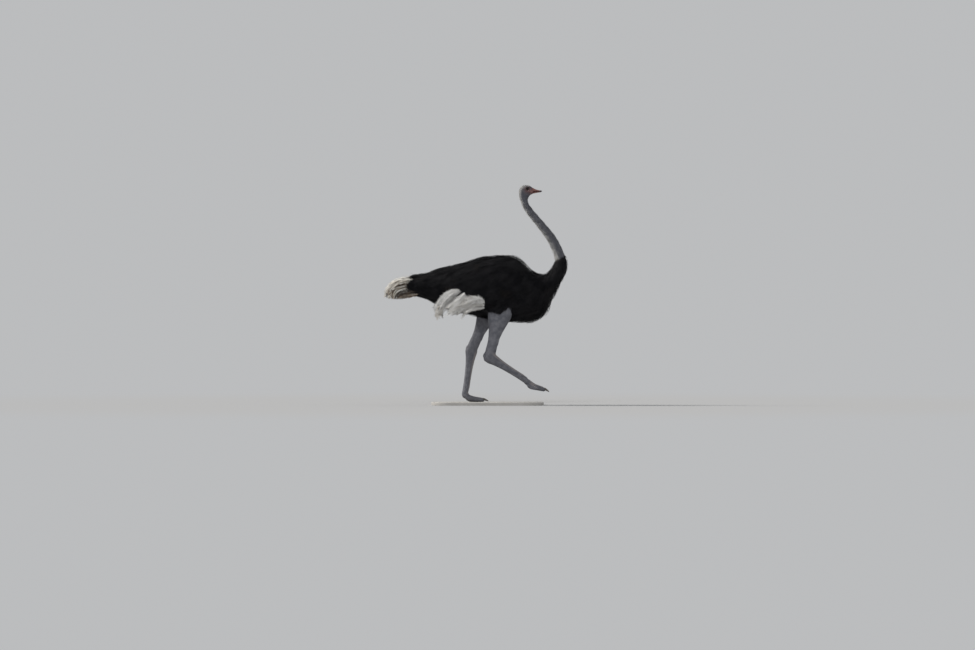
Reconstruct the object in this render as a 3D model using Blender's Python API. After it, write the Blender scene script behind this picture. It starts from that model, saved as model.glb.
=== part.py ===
"""A walking male ostrich at life size, set on a flat display base.

The bird faces +X with +Z up, and its left side is +Y. The origin is the centre of the base's
underside. It stands on its left foot, and its right foot swings forward clear of the base.
Every solid is taken out to the tips of its feathers. Lengths are in metres.
"""

import math

import bmesh
import bpy
import numpy as np

# ---------------------------------------------------------------- driving dimensions
STAND_LENGTH = 1.10
STAND_WIDTH = 0.56
STAND_THICKNESS = 0.030
STAND_CORNER = 0.16
STAND_EDGE = 0.004
GAP = 0.0004  # between pieces that meet
CUT_GAP = 0.0006  # by which a neighbour grows before it cuts

SHIN_LENGTH = 0.565  # knee to hock
SHANK_LENGTH = 0.44  # hock to the joint above the toes
TOE_JOINT_HEIGHT = 0.075  # that joint above the sole
RAISED_JOINT_HEIGHT = 0.208  # that of the raised foot, above the base's top

EYE_CENTRE = (0.386, 0.0265, 2.090)
EYE_RADIUS = 0.0215

# ---------------------------------------------------------------- body outline
# Each row is dorsal x, dorsal z, ventral x, ventral z and half width. Heights are above the
# base's top. Row by row, the oval section turns from upright on the back to level on the neck.
TRUNK = [
    (-0.745, 1.260, -0.730, 1.038, 0.108),
    (-0.620, 1.256, -0.615, 1.010, 0.136),
    (-0.500, 1.292, -0.500, 0.950, 0.165),
    (-0.365, 1.328, -0.380, 0.900, 0.195),
    (-0.205, 1.374, -0.240, 0.865, 0.220),
    (-0.050, 1.421, -0.085, 0.825, 0.238),
    (0.110, 1.434, 0.090, 0.792, 0.248),
    (0.235, 1.417, 0.270, 0.778, 0.245),
    (0.335, 1.368, 0.450, 0.776, 0.228),
    (0.420, 1.305, 0.577, 0.845, 0.198),
    (0.500, 1.264, 0.640, 0.980, 0.162),
]
NECK_LOWER = [
    (0.558, 1.253, 0.707, 1.115, 0.128),
    (0.608, 1.274, 0.757, 1.245, 0.096),
    (0.645, 1.322, 0.774, 1.340, 0.073),
    (0.670, 1.383, 0.767, 1.421, 0.056),
]
# Rows of the bare neck are centre x, centre z, depth and half width.
NECK_UPPER = [
    (0.684, 1.490, 0.102, 0.049),
    (0.635, 1.588, 0.097, 0.045),
    (0.564, 1.686, 0.088, 0.041),
    (0.483, 1.784, 0.080, 0.038),
    (0.404, 1.882, 0.075, 0.036),
    (0.367, 1.942, 0.072, 0.035),
]
HEAD = [
    (0.316, 1.990, 0.396, 1.985, 0.0355),
    (0.310, 2.030, 0.404, 2.006, 0.0365),
    (0.307, 2.068, 0.414, 2.022, 0.0385),
    (0.316, 2.101, 0.423, 2.029, 0.0405),
    (0.338, 2.121, 0.430, 2.033, 0.0425),
    (0.370, 2.129, 0.437, 2.036, 0.0430),
    (0.402, 2.124, 0.445, 2.039, 0.0390),
    (0.431, 2.110, 0.454, 2.043, 0.0315),
]
BILL_UPPER = [
    (0.426, 2.1110, 0.420, 2.0570, 0.0320),
    (0.450, 2.0960, 0.445, 2.0585, 0.0305),
    (0.475, 2.0835, 0.472, 2.0602, 0.0280),
    (0.500, 2.0770, 0.498, 2.0615, 0.0255),
    (0.518, 2.0750, 0.517, 2.0625, 0.0225),
    (0.529, 2.0725, 0.529, 2.0630, 0.0170),
    (0.535, 2.0680, 0.535, 2.0635, 0.0080),
]
BILL_LOWER = [
    (0.420, 2.0562, 0.430, 2.0335, 0.0300),
    (0.445, 2.0577, 0.452, 2.0430, 0.0285),
    (0.472, 2.0594, 0.476, 2.0485, 0.0260),
    (0.498, 2.0607, 0.500, 2.0525, 0.0235),
    (0.518, 2.0617, 0.518, 2.0550, 0.0200),
    (0.530, 2.0622, 0.530, 2.0580, 0.0120),
]
TAIL = [
    (-0.7455, 1.2620, -0.7305, 1.0360, 0.112),
    (-0.823, 1.266, -0.800, 1.008, 0.142),
    (-0.900, 1.245, -0.872, 1.016, 0.148),
    (-0.963, 1.192, -0.936, 1.022, 0.124),
    (-1.000, 1.130, -0.978, 1.032, 0.080),
    (-1.012, 1.085, -1.000, 1.052, 0.030),
]
# Wing and plume rows add the section's own middle, out from the body's midplane, and hold
# half its thickness in place of the half width.
WING = [
    (0.440, 1.225, 0.445, 1.145, 0.165, 0.018),
    (0.395, 1.285, 0.405, 1.085, 0.180, 0.046),
    (0.290, 1.345, 0.310, 1.000, 0.212, 0.066),
    (0.120, 1.378, 0.140, 0.955, 0.228, 0.072),
    (-0.080, 1.355, -0.060, 0.940, 0.220, 0.074),
    (-0.260, 1.295, -0.230, 0.950, 0.195, 0.070),
    (-0.400, 1.210, -0.360, 0.980, 0.160, 0.058),
    (-0.480, 1.120, -0.450, 1.040, 0.135, 0.030),
]
PLUMES = [
    (-0.045, 0.985, -0.050, 0.935, 0.232, 0.024),
    (-0.080, 1.010, -0.090, 0.905, 0.236, 0.040),
    (-0.150, 1.030, -0.160, 0.892, 0.232, 0.046),
    (-0.225, 1.060, -0.225, 0.888, 0.226, 0.049),
    (-0.300, 1.105, -0.295, 0.884, 0.215, 0.050),
    (-0.385, 1.065, -0.360, 0.880, 0.200, 0.050),
    (-0.450, 1.000, -0.405, 0.868, 0.182, 0.048),
    (-0.495, 0.925, -0.425, 0.848, 0.168, 0.044),
    (-0.508, 0.865, -0.445, 0.828, 0.160, 0.034),
    (-0.500, 0.812, -0.475, 0.808, 0.156, 0.014),
]

# ---------------------------------------------------------------- legs and feet
# Rows are the share of the way from knee to hock, half depth and half width.
DRUMSTICK = [
    (-0.14, 0.150, 0.084),
    (0.08, 0.138, 0.082),
    (0.26, 0.118, 0.074),
    (0.42, 0.091, 0.061),
    (0.58, 0.065, 0.049),
    (0.74, 0.052, 0.041),
    (0.88, 0.054, 0.041),
    (0.96, 0.053, 0.041),
    (1.01, 0.040, 0.033),
    (1.03, 0.020, 0.018),
]
# Rows are the share of the way from hock to toe joint, half depth and half width.
SHANK = [
    (-0.145, 0.020, 0.016),
    (-0.110, 0.044, 0.034),
    (0.00, 0.062, 0.046),
    (0.12, 0.052, 0.038),
    (0.32, 0.040, 0.030),
    (0.58, 0.034, 0.0275),
    (0.84, 0.033, 0.0290),
    (0.97, 0.036, 0.0340),
]
# Toe rows are the distance forward of the toe joint, height above the sole, half height and
# half width.
INNER_TOE = [
    (-0.034, 0.076, 0.012, 0.012),
    (-0.026, 0.073, 0.028, 0.025),
    (0.000, 0.066, 0.037, 0.034),
    (0.040, 0.043, 0.036, 0.035),
    (0.080, 0.030, 0.031, 0.034),
    (0.125, 0.025, 0.027, 0.031),
    (0.165, 0.021, 0.023, 0.027),
    (0.183, 0.018, 0.016, 0.020),
    (0.189, 0.017, 0.008, 0.010),
]
OUTER_TOE = [
    (0.002, 0.048, 0.010, 0.010),
    (0.010, 0.044, 0.024, 0.019),
    (0.040, 0.030, 0.027, 0.023),
    (0.075, 0.021, 0.022, 0.021),
    (0.105, 0.017, 0.018, 0.018),
    (0.122, 0.014, 0.012, 0.012),
    (0.127, 0.013, 0.005, 0.005),
]
CLAW = [
    (0.160, 0.030, 0.0100, 0.0120),
    (0.185, 0.026, 0.0120, 0.0125),
    (0.205, 0.019, 0.0095, 0.0105),
    (0.222, 0.011, 0.0055, 0.0065),
    (0.230, 0.006, 0.0020, 0.0025),
]
OUTER_TOE_SPREAD = math.radians(27)
OUTER_TOE_SIDE = 0.022  # how far its root stands out from the toe joint
# Each leg is placed by its hock, and each bone's tilt is from straight down, forward positive.
LEGS = {
    "left": {
        "side": 1,
        "hock_ahead": -0.157,
        "knee_out": 0.125,
        "hock_out": 0.092,
        "joint_out": 0.058,
        "joint_height": TOE_JOINT_HEIGHT + GAP,
        "shin_tilt": math.radians(-24),
        "shank_tilt": math.radians(-8),
        "foot_pitch": 0.0,
        "foot_yaw": math.radians(2),
    },
    "right": {
        "side": -1,
        "hock_ahead": 0.018,
        "knee_out": 0.125,
        "hock_out": 0.098,
        "joint_out": 0.075,
        "joint_height": RAISED_JOINT_HEIGHT,
        "shin_tilt": math.radians(-13.5),
        "shank_tilt": math.radians(58),
        "foot_pitch": math.radians(10),
        "foot_yaw": math.radians(3),
    },
}

# ---------------------------------------------------------------- materials
COLOURS = {  # base colour and roughness
    "black_plume": ((0.012, 0.012, 0.014), 0.75),
    "white_plume": ((0.72, 0.71, 0.69), 0.80),
    "tail_plume": ((0.40, 0.33, 0.26), 0.80),
    "neck_skin": ((0.30, 0.29, 0.30), 0.75),
    "leg_skin": ((0.40, 0.41, 0.45), 0.60),
    "toe_skin": ((0.33, 0.30, 0.30), 0.65),
    "bill_horn": ((0.48, 0.27, 0.25), 0.40),
    "claw_horn": ((0.09, 0.08, 0.08), 0.45),
    "eye": ((0.03, 0.018, 0.012), 0.08),
    "stand_board": ((0.55, 0.53, 0.50), 0.60),
}


def material(name):
    """The named material, made the first time that it is asked for."""
    made = bpy.data.materials.get(name)
    if made:
        return made
    colour, roughness = COLOURS[name]
    made = bpy.data.materials.new(name)
    made.use_nodes = True
    shader = made.node_tree.nodes["Principled BSDF"]
    shader.inputs["Base Color"].default_value = (*colour, 1.0)
    shader.inputs["Roughness"].default_value = roughness
    shader.inputs["Metallic"].default_value = 0.0
    return made


# ---------------------------------------------------------------- shaping tools
def smooth_rows(rows, count):
    """count rows on a smooth curve through the given ones, spaced evenly along their middles."""
    table = np.array(rows, float)
    steps = np.linalg.norm(np.diff(table, axis=0), axis=1)
    at = np.concatenate([[0.0], np.cumsum(steps)])
    slope = np.gradient(table, at, axis=0)
    want = np.linspace(0.0, at[-1], count)
    i = np.clip(np.searchsorted(at, want, side="right") - 1, 0, len(at) - 2)
    span = (at[i + 1] - at[i])[:, None]
    t = (want[:, None] - at[i][:, None]) / span
    first = table[i] * (1 + 2 * t) * (1 - t) ** 2 + slope[i] * span * t * (1 - t) ** 2
    second = table[i + 1] * (3 - 2 * t) * t**2 + slope[i + 1] * span * t**2 * (t - 1)
    return first + second


def oval(middle, up, out, segments, taper=0.0, power=1.0):
    """A ring of points: middle, plus up by the cosine and out by the sine of each angle.
    taper narrows the side away from up, and a power under 1 squares the oval."""
    angle = np.arange(segments) * 2 * math.pi / segments
    c, s = np.cos(angle), np.sin(angle)
    rise = np.sign(c) * np.abs(c) ** power
    reach = np.sign(s) * np.abs(s) ** power * (1 + taper * rise)
    return middle + rise[:, None] * up + reach[:, None] * out


def outline_rings(rows, count, segments, taper=0.0, power=1.0, side=1):
    """Rings between a dorsal and a ventral outline, for rows of 5 values, or of 6 with the
    section's own middle out from the midplane."""
    rings = []
    for row in smooth_rows(rows, count):
        top = np.array([row[0], 0.0, row[1]])
        bottom = np.array([row[2], 0.0, row[3]])
        middle = (top + bottom) / 2
        if len(row) == 6:
            middle[1] = side * row[4]
        out = np.array([0.0, row[-1], 0.0])
        rings.append(oval(middle, (top - bottom) / 2, out, segments, taper, power))
    return lift(rings)


def lift(rings):
    """Raises rings from heights above the base's top to heights above the floor."""
    return [ring + (0.0, 0.0, STAND_THICKNESS) for ring in rings]


def neck_outline():
    """The bare neck's rows as outline rows: each depth is laid off across the centre line."""
    table = np.array(NECK_UPPER)
    ends = [np.mean(np.reshape(row[:4], (2, 2)), axis=0) for row in (NECK_LOWER[-1], HEAD[0])]
    path = np.vstack([ends[0], table[:, :2], ends[1]])
    along = np.gradient(path, axis=0)[1:-1]
    along /= np.linalg.norm(along, axis=1)[:, None]
    ahead = np.stack([along[:, 1], -along[:, 0]], axis=1) * table[:, 2:3] / 2
    rows = np.hstack([table[:, :2] - ahead, table[:, :2] + ahead, table[:, 3:4]])
    return [tuple(row) for row in rows]


def limb_rings(rows, start, end, count, segments):
    """Rings across the straight line from start to end, for rows of share, half depth and
    half width. Depth is measured fore and aft."""
    axis = (end - start) / np.linalg.norm(end - start)
    out = np.cross(axis, (1.0, 0.0, 0.0)) if abs(axis[2]) > 0.3 else np.array([0.0, 1.0, 0.0])
    out /= np.linalg.norm(out)
    ahead = np.cross(out, axis)
    rings = []
    for share, deep, wide in smooth_rows(rows, count):
        middle = start + share * (end - start)
        rings.append(oval(middle, ahead * deep, out * wide, segments))
    return rings


def new_object(name, mesh, colour):
    made = bpy.data.objects.new(name, mesh)
    mesh.materials.append(material(colour))
    bpy.context.scene.collection.objects.link(made)
    return made


def loft(name, rings, colour):
    """A closed solid through the rings, with a flat cap on each end."""
    work = bmesh.new()
    levels = [[work.verts.new(point) for point in ring] for ring in rings]
    for low, high in zip(levels, levels[1:]):
        for i in range(len(low)):
            j = (i + 1) % len(low)
            work.faces.new((low[i], low[j], high[j], high[i]))
    work.faces.new(levels[0])
    work.faces.new(levels[-1])
    # Triangles keep their shape when they grow into a cutter, where bent quads would not.
    bmesh.ops.triangulate(work, faces=work.faces)
    bmesh.ops.recalc_face_normals(work, faces=work.faces)
    if work.calc_volume(signed=True) < 0:
        bmesh.ops.reverse_faces(work, faces=work.faces)
    mesh = bpy.data.meshes.new(name)
    work.to_mesh(mesh)
    work.free()
    mesh.shade_smooth()
    mesh.set_sharp_from_angle(angle=math.radians(50))
    return new_object(name, mesh, colour)


def cut(target, *neighbours):
    """Takes each neighbour's own shape, grown by the gap, out of target."""
    for neighbour in neighbours:
        cutter = bpy.data.objects.new("cutter_" + neighbour.name, neighbour.data.copy())
        bpy.context.scene.collection.objects.link(cutter)
        cutter.hide_render = True
        cutter.display_type = "WIRE"
        grow = cutter.modifiers.new("grow", "DISPLACE")
        grow.strength = CUT_GAP
        grow.mid_level = 0.0
        remove = target.modifiers.new("clear_" + neighbour.name, "BOOLEAN")
        remove.operation = "DIFFERENCE"
        remove.object = cutter


# ---------------------------------------------------------------- parts
def part_rings(rings, share):
    """Rings moved back from a shared end, so that the pieces on its two sides keep the gap."""
    first = rings[0] + (rings[1] - rings[0]) * share
    return [first, *rings[1:]]


def make_body():
    """Trunk, feathered neck, bare neck and head: one outline, parted across three rings."""
    rows = TRUNK + NECK_LOWER + neck_outline() + HEAD
    trunk_end, lower_end = len(TRUNK), len(TRUNK) + len(NECK_LOWER)
    upper_end = lower_end + len(NECK_UPPER)
    trunk = outline_rings(rows[:trunk_end], 21, 26, taper=0.16)
    lower = outline_rings(rows[trunk_end - 1 : lower_end], 8, 26)
    upper = outline_rings(rows[lower_end - 1 : upper_end + 1], 18, 16)
    head = outline_rings(rows[upper_end:], 11, 20, power=0.92)
    lower[0] = trunk[-1]
    pieces = {
        "trunk": loft("trunk", trunk, "black_plume"),
        "neck_lower": loft("neck_lower", part_rings(lower, 0.03), "black_plume"),
        "neck_upper": loft("neck_upper", part_rings(upper, 0.03), "neck_skin"),
        "head": loft("head", part_rings(head, 0.06), "neck_skin"),
    }
    return pieces


def make_eyes(head):
    for name, side in (("left", 1), ("right", -1)):
        work = bmesh.new()
        bmesh.ops.create_uvsphere(work, u_segments=12, v_segments=8, radius=EYE_RADIUS)
        mesh = bpy.data.meshes.new("eye_" + name)
        work.to_mesh(mesh)
        work.free()
        mesh.shade_smooth()
        eye = new_object("eye_" + name, mesh, "eye")
        x, y, z = EYE_CENTRE
        eye.location = (x, side * y, z + STAND_THICKNESS)
        eye.data.transform(eye.matrix_basis)
        eye.location = (0.0, 0.0, 0.0)
        cut(head, eye)


def make_bill(head):
    for name, rows in (("bill_upper", BILL_UPPER), ("bill_lower", BILL_LOWER)):
        bill = loft(name, outline_rings(rows, 8, 12, power=0.85), "bill_horn")
        cut(bill, head)


def make_wings(trunk):
    """Each folded wing lies on the trunk, over the white plumes that hang from its edge."""
    made = {}
    for name, side in (("left", 1), ("right", -1)):
        wing = loft("wing_" + name, outline_rings(WING, 11, 16, side=side), "black_plume")
        plumes = loft("plumes_" + name, outline_rings(PLUMES, 12, 12, side=side), "white_plume")
        cut(wing, trunk)
        cut(plumes, trunk, wing)
        made[name] = (wing, plumes)
    return made


def leg_joints(leg):
    """Knee, hock and toe joint, worked up and down from the height of the toe joint."""
    side = leg["side"]
    shin, shank = leg["shin_tilt"], leg["shank_tilt"]
    hock_height = leg["joint_height"] + SHANK_LENGTH * math.cos(shank) + STAND_THICKNESS
    hock = np.array([leg["hock_ahead"], side * leg["hock_out"], hock_height])
    knee = np.array(
        [
            hock[0] - SHIN_LENGTH * math.sin(shin),
            side * leg["knee_out"],
            hock[2] + SHIN_LENGTH * math.cos(shin),
        ]
    )
    joint = np.array(
        [
            hock[0] + SHANK_LENGTH * math.sin(shank),
            side * leg["joint_out"],
            leg["joint_height"] + STAND_THICKNESS,
        ]
    )
    return knee, hock, joint


def foot_rings(rows, joint, side, pitch, yaw, segments, at_side=0.0):
    """Toe rings with a flat sole, set at the toe joint, pitched down and turned outwards."""
    rings = []
    for ahead, height, deep, wide in smooth_rows(rows, len(rows) + 3):
        middle = np.array([ahead, 0.0, height])
        ring = oval(middle, np.array([0.0, 0.0, deep]), np.array([0.0, wide, 0.0]), segments)
        ring[:, 2] = np.maximum(ring[:, 2], 0.0)
        rings.append(ring)
    down = np.array(
        [
            [math.cos(pitch), 0.0, math.sin(pitch)],
            [0.0, 1.0, 0.0],
            [-math.sin(pitch), 0.0, math.cos(pitch)],
        ]
    )
    turn = np.array(
        [
            [math.cos(yaw), -side * math.sin(yaw), 0.0],
            [side * math.sin(yaw), math.cos(yaw), 0.0],
            [0.0, 0.0, 1.0],
        ]
    )
    pivot = np.array([0.0, 0.0, TOE_JOINT_HEIGHT])
    placed = []
    for ring in rings:
        local = (ring - pivot) @ turn.T + (0.0, side * at_side, 0.0)
        placed.append(local @ down.T + joint)
    return placed


def make_leg(name, feathers):
    leg = LEGS[name]
    side = leg["side"]
    knee, hock, joint = leg_joints(leg)
    pitch, yaw = leg["foot_pitch"], leg["foot_yaw"]

    drumstick = loft("drumstick_" + name, limb_rings(DRUMSTICK, knee, hock, 13, 16), "leg_skin")
    shank = loft("shank_" + name, limb_rings(SHANK, hock, joint, 12, 14), "leg_skin")
    cut(drumstick, shank, *feathers)
    inner = foot_rings(INNER_TOE, joint, side, pitch, yaw, 14)
    toe_inner = loft("toe_inner_" + name, inner, "toe_skin")
    spread = yaw + OUTER_TOE_SPREAD
    outer = foot_rings(OUTER_TOE, joint, side, pitch, spread, 12, OUTER_TOE_SIDE)
    toe_outer = loft("toe_outer_" + name, outer, "toe_skin")
    claw = loft("claw_" + name, foot_rings(CLAW, joint, side, pitch, yaw, 10), "claw_horn")
    cut(toe_inner, shank)
    cut(toe_outer, shank, toe_inner)
    cut(toe_inner, claw)


def make_stand():
    """A flat board with round corners and softened edges."""
    rings_up = []
    corner_steps = 8
    for inset, height in (
        (STAND_EDGE, 0.0),
        (0.0, STAND_EDGE),
        (0.0, STAND_THICKNESS - STAND_EDGE),
        (STAND_EDGE, STAND_THICKNESS),
    ):
        ring = []
        for quarter in range(4):
            for step in range(corner_steps + 1):
                angle = (quarter + step / corner_steps) * math.pi / 2
                along = 1 if quarter in (0, 3) else -1
                across = 1 if quarter in (0, 1) else -1
                reach = STAND_CORNER - inset
                ring.append(
                    (
                        along * (STAND_LENGTH / 2 - STAND_CORNER) + reach * math.cos(angle),
                        across * (STAND_WIDTH / 2 - STAND_CORNER) + reach * math.sin(angle),
                        height,
                    )
                )
        rings_up.append(np.array(ring))
    loft("stand_base", rings_up, "stand_board")


def main():
    for old in list(bpy.data.objects):
        bpy.data.objects.remove(old)
    body = make_body()
    make_eyes(body["head"])
    make_bill(body["head"])
    loft("tail", outline_rings(TAIL, 11, 20), "tail_plume")
    wings = make_wings(body["trunk"])
    for name in LEGS:
        make_leg(name, (*wings[name], body["trunk"]))
    make_stand()


main()
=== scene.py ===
"""The looks of the walking ostrich: one skin, its feathers in solid mesh, and its finishes.

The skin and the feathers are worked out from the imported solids. The skin lies inside them by the
depth of the coat, and the feathers fill that depth. Lengths are in metres.
"""

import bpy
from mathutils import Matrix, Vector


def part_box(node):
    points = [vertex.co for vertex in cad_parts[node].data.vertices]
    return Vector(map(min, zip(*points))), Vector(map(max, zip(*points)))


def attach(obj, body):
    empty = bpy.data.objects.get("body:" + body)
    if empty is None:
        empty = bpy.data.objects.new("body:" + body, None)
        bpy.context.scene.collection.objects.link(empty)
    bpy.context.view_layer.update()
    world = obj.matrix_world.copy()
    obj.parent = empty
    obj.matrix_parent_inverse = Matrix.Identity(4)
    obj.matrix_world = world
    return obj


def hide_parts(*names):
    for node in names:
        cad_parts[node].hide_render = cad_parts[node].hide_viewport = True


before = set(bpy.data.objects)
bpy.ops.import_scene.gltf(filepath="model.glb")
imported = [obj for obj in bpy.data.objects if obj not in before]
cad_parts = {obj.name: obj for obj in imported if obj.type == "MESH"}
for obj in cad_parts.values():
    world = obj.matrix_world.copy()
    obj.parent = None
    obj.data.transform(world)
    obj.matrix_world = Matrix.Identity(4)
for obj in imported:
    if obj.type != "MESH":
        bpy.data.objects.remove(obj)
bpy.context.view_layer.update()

import math

import bpy
import numpy as np
from mathutils import Vector
from mathutils.bvhtree import BVHTree

SIDES = {"left": 1, "right": -1}
BASE_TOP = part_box("stand_base")[1].z
RANDOM = np.random.default_rng(7)

# ---------------------------------------------------------------- camera and stage
VIEW_DISTANCE = 100.0  # a long lens, far from the bird
VIEW_WIDTH = 9.555  # what the picture spans at the bird
EYE_HEIGHT = 1.70
AIM_HEIGHT = 0.755
SENSOR_WIDTH = 36.0
CLIP_END = 400.0
LAMP_DISTANCE = 9.0
FLOOR_FADE = (3.0, 9.0)  # from where to where the floor fades into the background
FLOOR_REACH = 300.0
BACKGROUND = (0.50, 0.507, 0.515)
# Each light is a far lamp: strength, the way to it, its width in degrees and its colour.
LIGHTS = {
    "key": (3.2, (-0.86, 0.10, 0.72), 14, (1.0, 0.965, 0.92)),
    "fill": (0.70, (-0.15, -0.90, 0.50), 16, (0.95, 0.97, 1.0)),
}


def add_object(name, data):
    """An object of that name in the scene."""
    made = bpy.data.objects.new(name, data)
    bpy.context.scene.collection.objects.link(made)
    return made


def add_camera():
    camera = bpy.data.cameras.new("camera")
    holder = add_object("camera", camera)
    drop = EYE_HEIGHT - AIM_HEIGHT
    holder.location = (0.0, -VIEW_DISTANCE, BASE_TOP + EYE_HEIGHT)
    holder.rotation_euler = (math.pi / 2 - math.atan2(drop, VIEW_DISTANCE), 0.0, 0.0)
    camera.sensor_width = SENSOR_WIDTH
    camera.lens = SENSOR_WIDTH * math.hypot(drop, VIEW_DISTANCE) / VIEW_WIDTH
    camera.clip_end = CLIP_END
    bpy.context.scene.camera = holder


def add_lights():
    """The lamps. Returns the light that a level floor gets from them, as a share of pi."""
    level = 0.0
    for name, (strength, direction, width, colour) in LIGHTS.items():
        light = bpy.data.lights.new(name, "SUN")
        light.energy = strength
        light.color = colour
        light.angle = math.radians(width)
        holder = add_object(name, light)
        away = Vector(direction).normalized()
        holder.location = away * LAMP_DISTANCE
        holder.rotation_euler = (-away).to_track_quat("-Z", "Y").to_euler()
        level += strength * away.z / math.pi
    return level


def add_world():
    bpy.context.scene.view_settings.view_transform = "Standard"
    world = bpy.data.worlds.new("studio")
    bpy.context.scene.world = world
    world.use_nodes = True
    background = world.node_tree.nodes["Background"]
    background.inputs["Color"].default_value = (*BACKGROUND, 1.0)
    background.inputs["Strength"].default_value = 1.0


def add_floor(level):
    corners = np.array([(-1, -1, 0), (1, -1, 0), (1, 1, 0), (-1, 1, 0)]) * FLOOR_REACH
    floor = add_object("floor", make_mesh("floor", corners, [np.array([[0, 1, 2, 3]])]))
    floor.data.materials.append(floor_finish(level))


# ---------------------------------------------------------------- material helpers
class Finish:
    """A Principled material and short ways to add nodes to it."""

    def __init__(self, name, roughness, specular=0.5, sheen=0.0):
        self.material = bpy.data.materials.new(name)
        self.material.use_nodes = True
        self.tree = self.material.node_tree
        self.shader = self.tree.nodes["Principled BSDF"]
        self.shader.inputs["Roughness"].default_value = roughness
        self.shader.inputs["Specular IOR Level"].default_value = specular
        self.shader.inputs["Sheen Weight"].default_value = sheen

    def feed(self, socket, value):
        """Links value to the socket, or sets it where it is a plain number or colour."""
        if isinstance(value, bpy.types.NodeSocket):
            self.tree.links.new(value, socket)
        else:
            socket.default_value = (*value, 1.0) if socket.type == "RGBA" else value

    def node(self, kind, inputs=None, **settings):
        """A new node with these settings, its sockets fed with the inputs."""
        made = self.tree.nodes.new(kind)
        for key, value in settings.items():
            setattr(made, key, value)
        for key, value in (inputs or {}).items():
            self.feed(made.inputs[key], value)
        return made

    def place(self, stretch=(1.0, 1.0, 1.0)):
        """Object coordinates, stretched."""
        source = self.node("ShaderNodeTexCoord").outputs["Object"]
        mapping = self.node("ShaderNodeMapping", {"Vector": source, "Scale": stretch})
        return mapping.outputs["Vector"]

    def noise(self, scale, detail=3, stretch=(1.0, 1.0, 1.0), distortion=0.0):
        inputs = {"Vector": self.place(stretch), "Scale": scale, "Detail": detail,
                  "Distortion": distortion}
        return self.node("ShaderNodeTexNoise", inputs).outputs["Fac"]

    def cells(self, scale, feature):
        inputs = {"Vector": self.place(), "Scale": scale}
        return self.node("ShaderNodeTexVoronoi", inputs, feature=feature).outputs["Distance"]

    def attribute(self, name):
        return self.node("ShaderNodeAttribute", attribute_name=name).outputs["Fac"]

    def span(self, value, low, high, to_low=0.0, to_high=1.0):
        """value mapped from low..high to to_low..to_high, smoothly and within them."""
        inputs = {"Value": value, "From Min": low, "From Max": high, "To Min": to_low,
                  "To Max": to_high}
        made = self.node("ShaderNodeMapRange", inputs, interpolation_type="SMOOTHSTEP")
        return made.outputs["Result"]

    def math(self, operation, a, b=0.0):
        return self.node("ShaderNodeMath", {0: a, 1: b}, operation=operation).outputs["Value"]

    def product(self, a, b):
        return self.math("MULTIPLY", a, b)

    def mix(self, share, a, b):
        """Colour a where the share is 0, and colour b where it is 1."""
        inputs = {"Factor": share, 6: a, 7: b}
        return self.node("ShaderNodeMix", inputs, data_type="RGBA").outputs[2]

    def mottled(self, noise, first, second, low=0.35, high=0.65):
        """The first colour where the noise is under low, and the second where it is over high."""
        return self.mix(self.span(noise, low, high), first, second)

    def over(self, colour, name, tone, share=1.0):
        """The colour with a tone laid over it, by a share of the mesh's attribute of that name."""
        return self.mix(self.product(self.attribute(name), share), colour, tone)

    def colour(self, value):
        self.feed(self.shader.inputs["Base Color"], value)

    def bump(self, height, distance, strength):
        inputs = {"Strength": strength, "Distance": distance, "Height": height}
        self.feed(self.shader.inputs["Normal"], self.node("ShaderNodeBump", inputs).outputs[0])


# ---------------------------------------------------------------- mesh helpers
JOIN = 0.0012  # by which surfaces grow to meet each other
WELD_STEP = 1e-6  # points that round to the same steps are one


def unit(vectors):
    return vectors / np.maximum(np.linalg.norm(vectors, axis=-1, keepdims=True), 1e-12)


def smoothstep(value, low, high):
    """0 at low and 1 at high, easing in and out between them."""
    t = np.clip((value - low) / (high - low), 0.0, 1.0)
    return t * t * (3 - 2 * t)


def band(value, start, full, fading, end):
    """0 up to start, 1 from full to fading, and 0 again from end on."""
    return smoothstep(value, start, full) * smoothstep(value, end, fading)


def bell(value, middle, width):
    """1 at the middle, fading to 0 over about twice the width on both sides."""
    return np.exp(-(((value - middle) / width) ** 2))


def make_mesh(name, points, faces, uv=None, attributes=None):
    """A smooth-shaded mesh from points and arrays of faces, each array of one corner count."""
    mesh = bpy.data.meshes.new(name)
    mesh.vertices.add(len(points))
    mesh.vertices.foreach_set("co", np.ascontiguousarray(points, np.float32).ravel())
    corners = np.concatenate([group.ravel() for group in faces]).astype(np.int32)
    counts = np.concatenate([np.full(len(group), group.shape[1]) for group in faces])
    mesh.loops.add(len(corners))
    mesh.loops.foreach_set("vertex_index", corners)
    mesh.polygons.add(len(counts))
    starts = np.concatenate([[0], np.cumsum(counts)[:-1]]).astype(np.int32)
    mesh.polygons.foreach_set("loop_start", starts)
    mesh.update(calc_edges=True)
    if uv is not None:
        layer = mesh.uv_layers.new(name="OFBake")
        layer.data.foreach_set("uv", np.ascontiguousarray(uv[corners], np.float32).ravel())
    for key, values in (attributes or {}).items():
        layer = mesh.attributes.new(key, "FLOAT", "POINT")
        layer.data.foreach_set("value", np.ascontiguousarray(values, np.float32))
    mesh.shade_smooth()
    return mesh


def add_piece(name, kind, mesh, replaced=()):
    """A piece of the model with that kind of finish, which takes the place of replaced nodes."""
    piece = add_object(name, mesh)
    mesh.materials.append(material_of(kind))
    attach(piece, "root")
    if replaced:
        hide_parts(*replaced)


def read(items, key, width, kind):
    """One property of a mesh's points or faces, as rows of that width."""
    values = np.empty((len(items), width), kind)
    items.foreach_get(key, values.ravel())
    return values


def points_of(mesh):
    return read(mesh.vertices, "co", 3, np.float32).astype(float)


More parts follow.
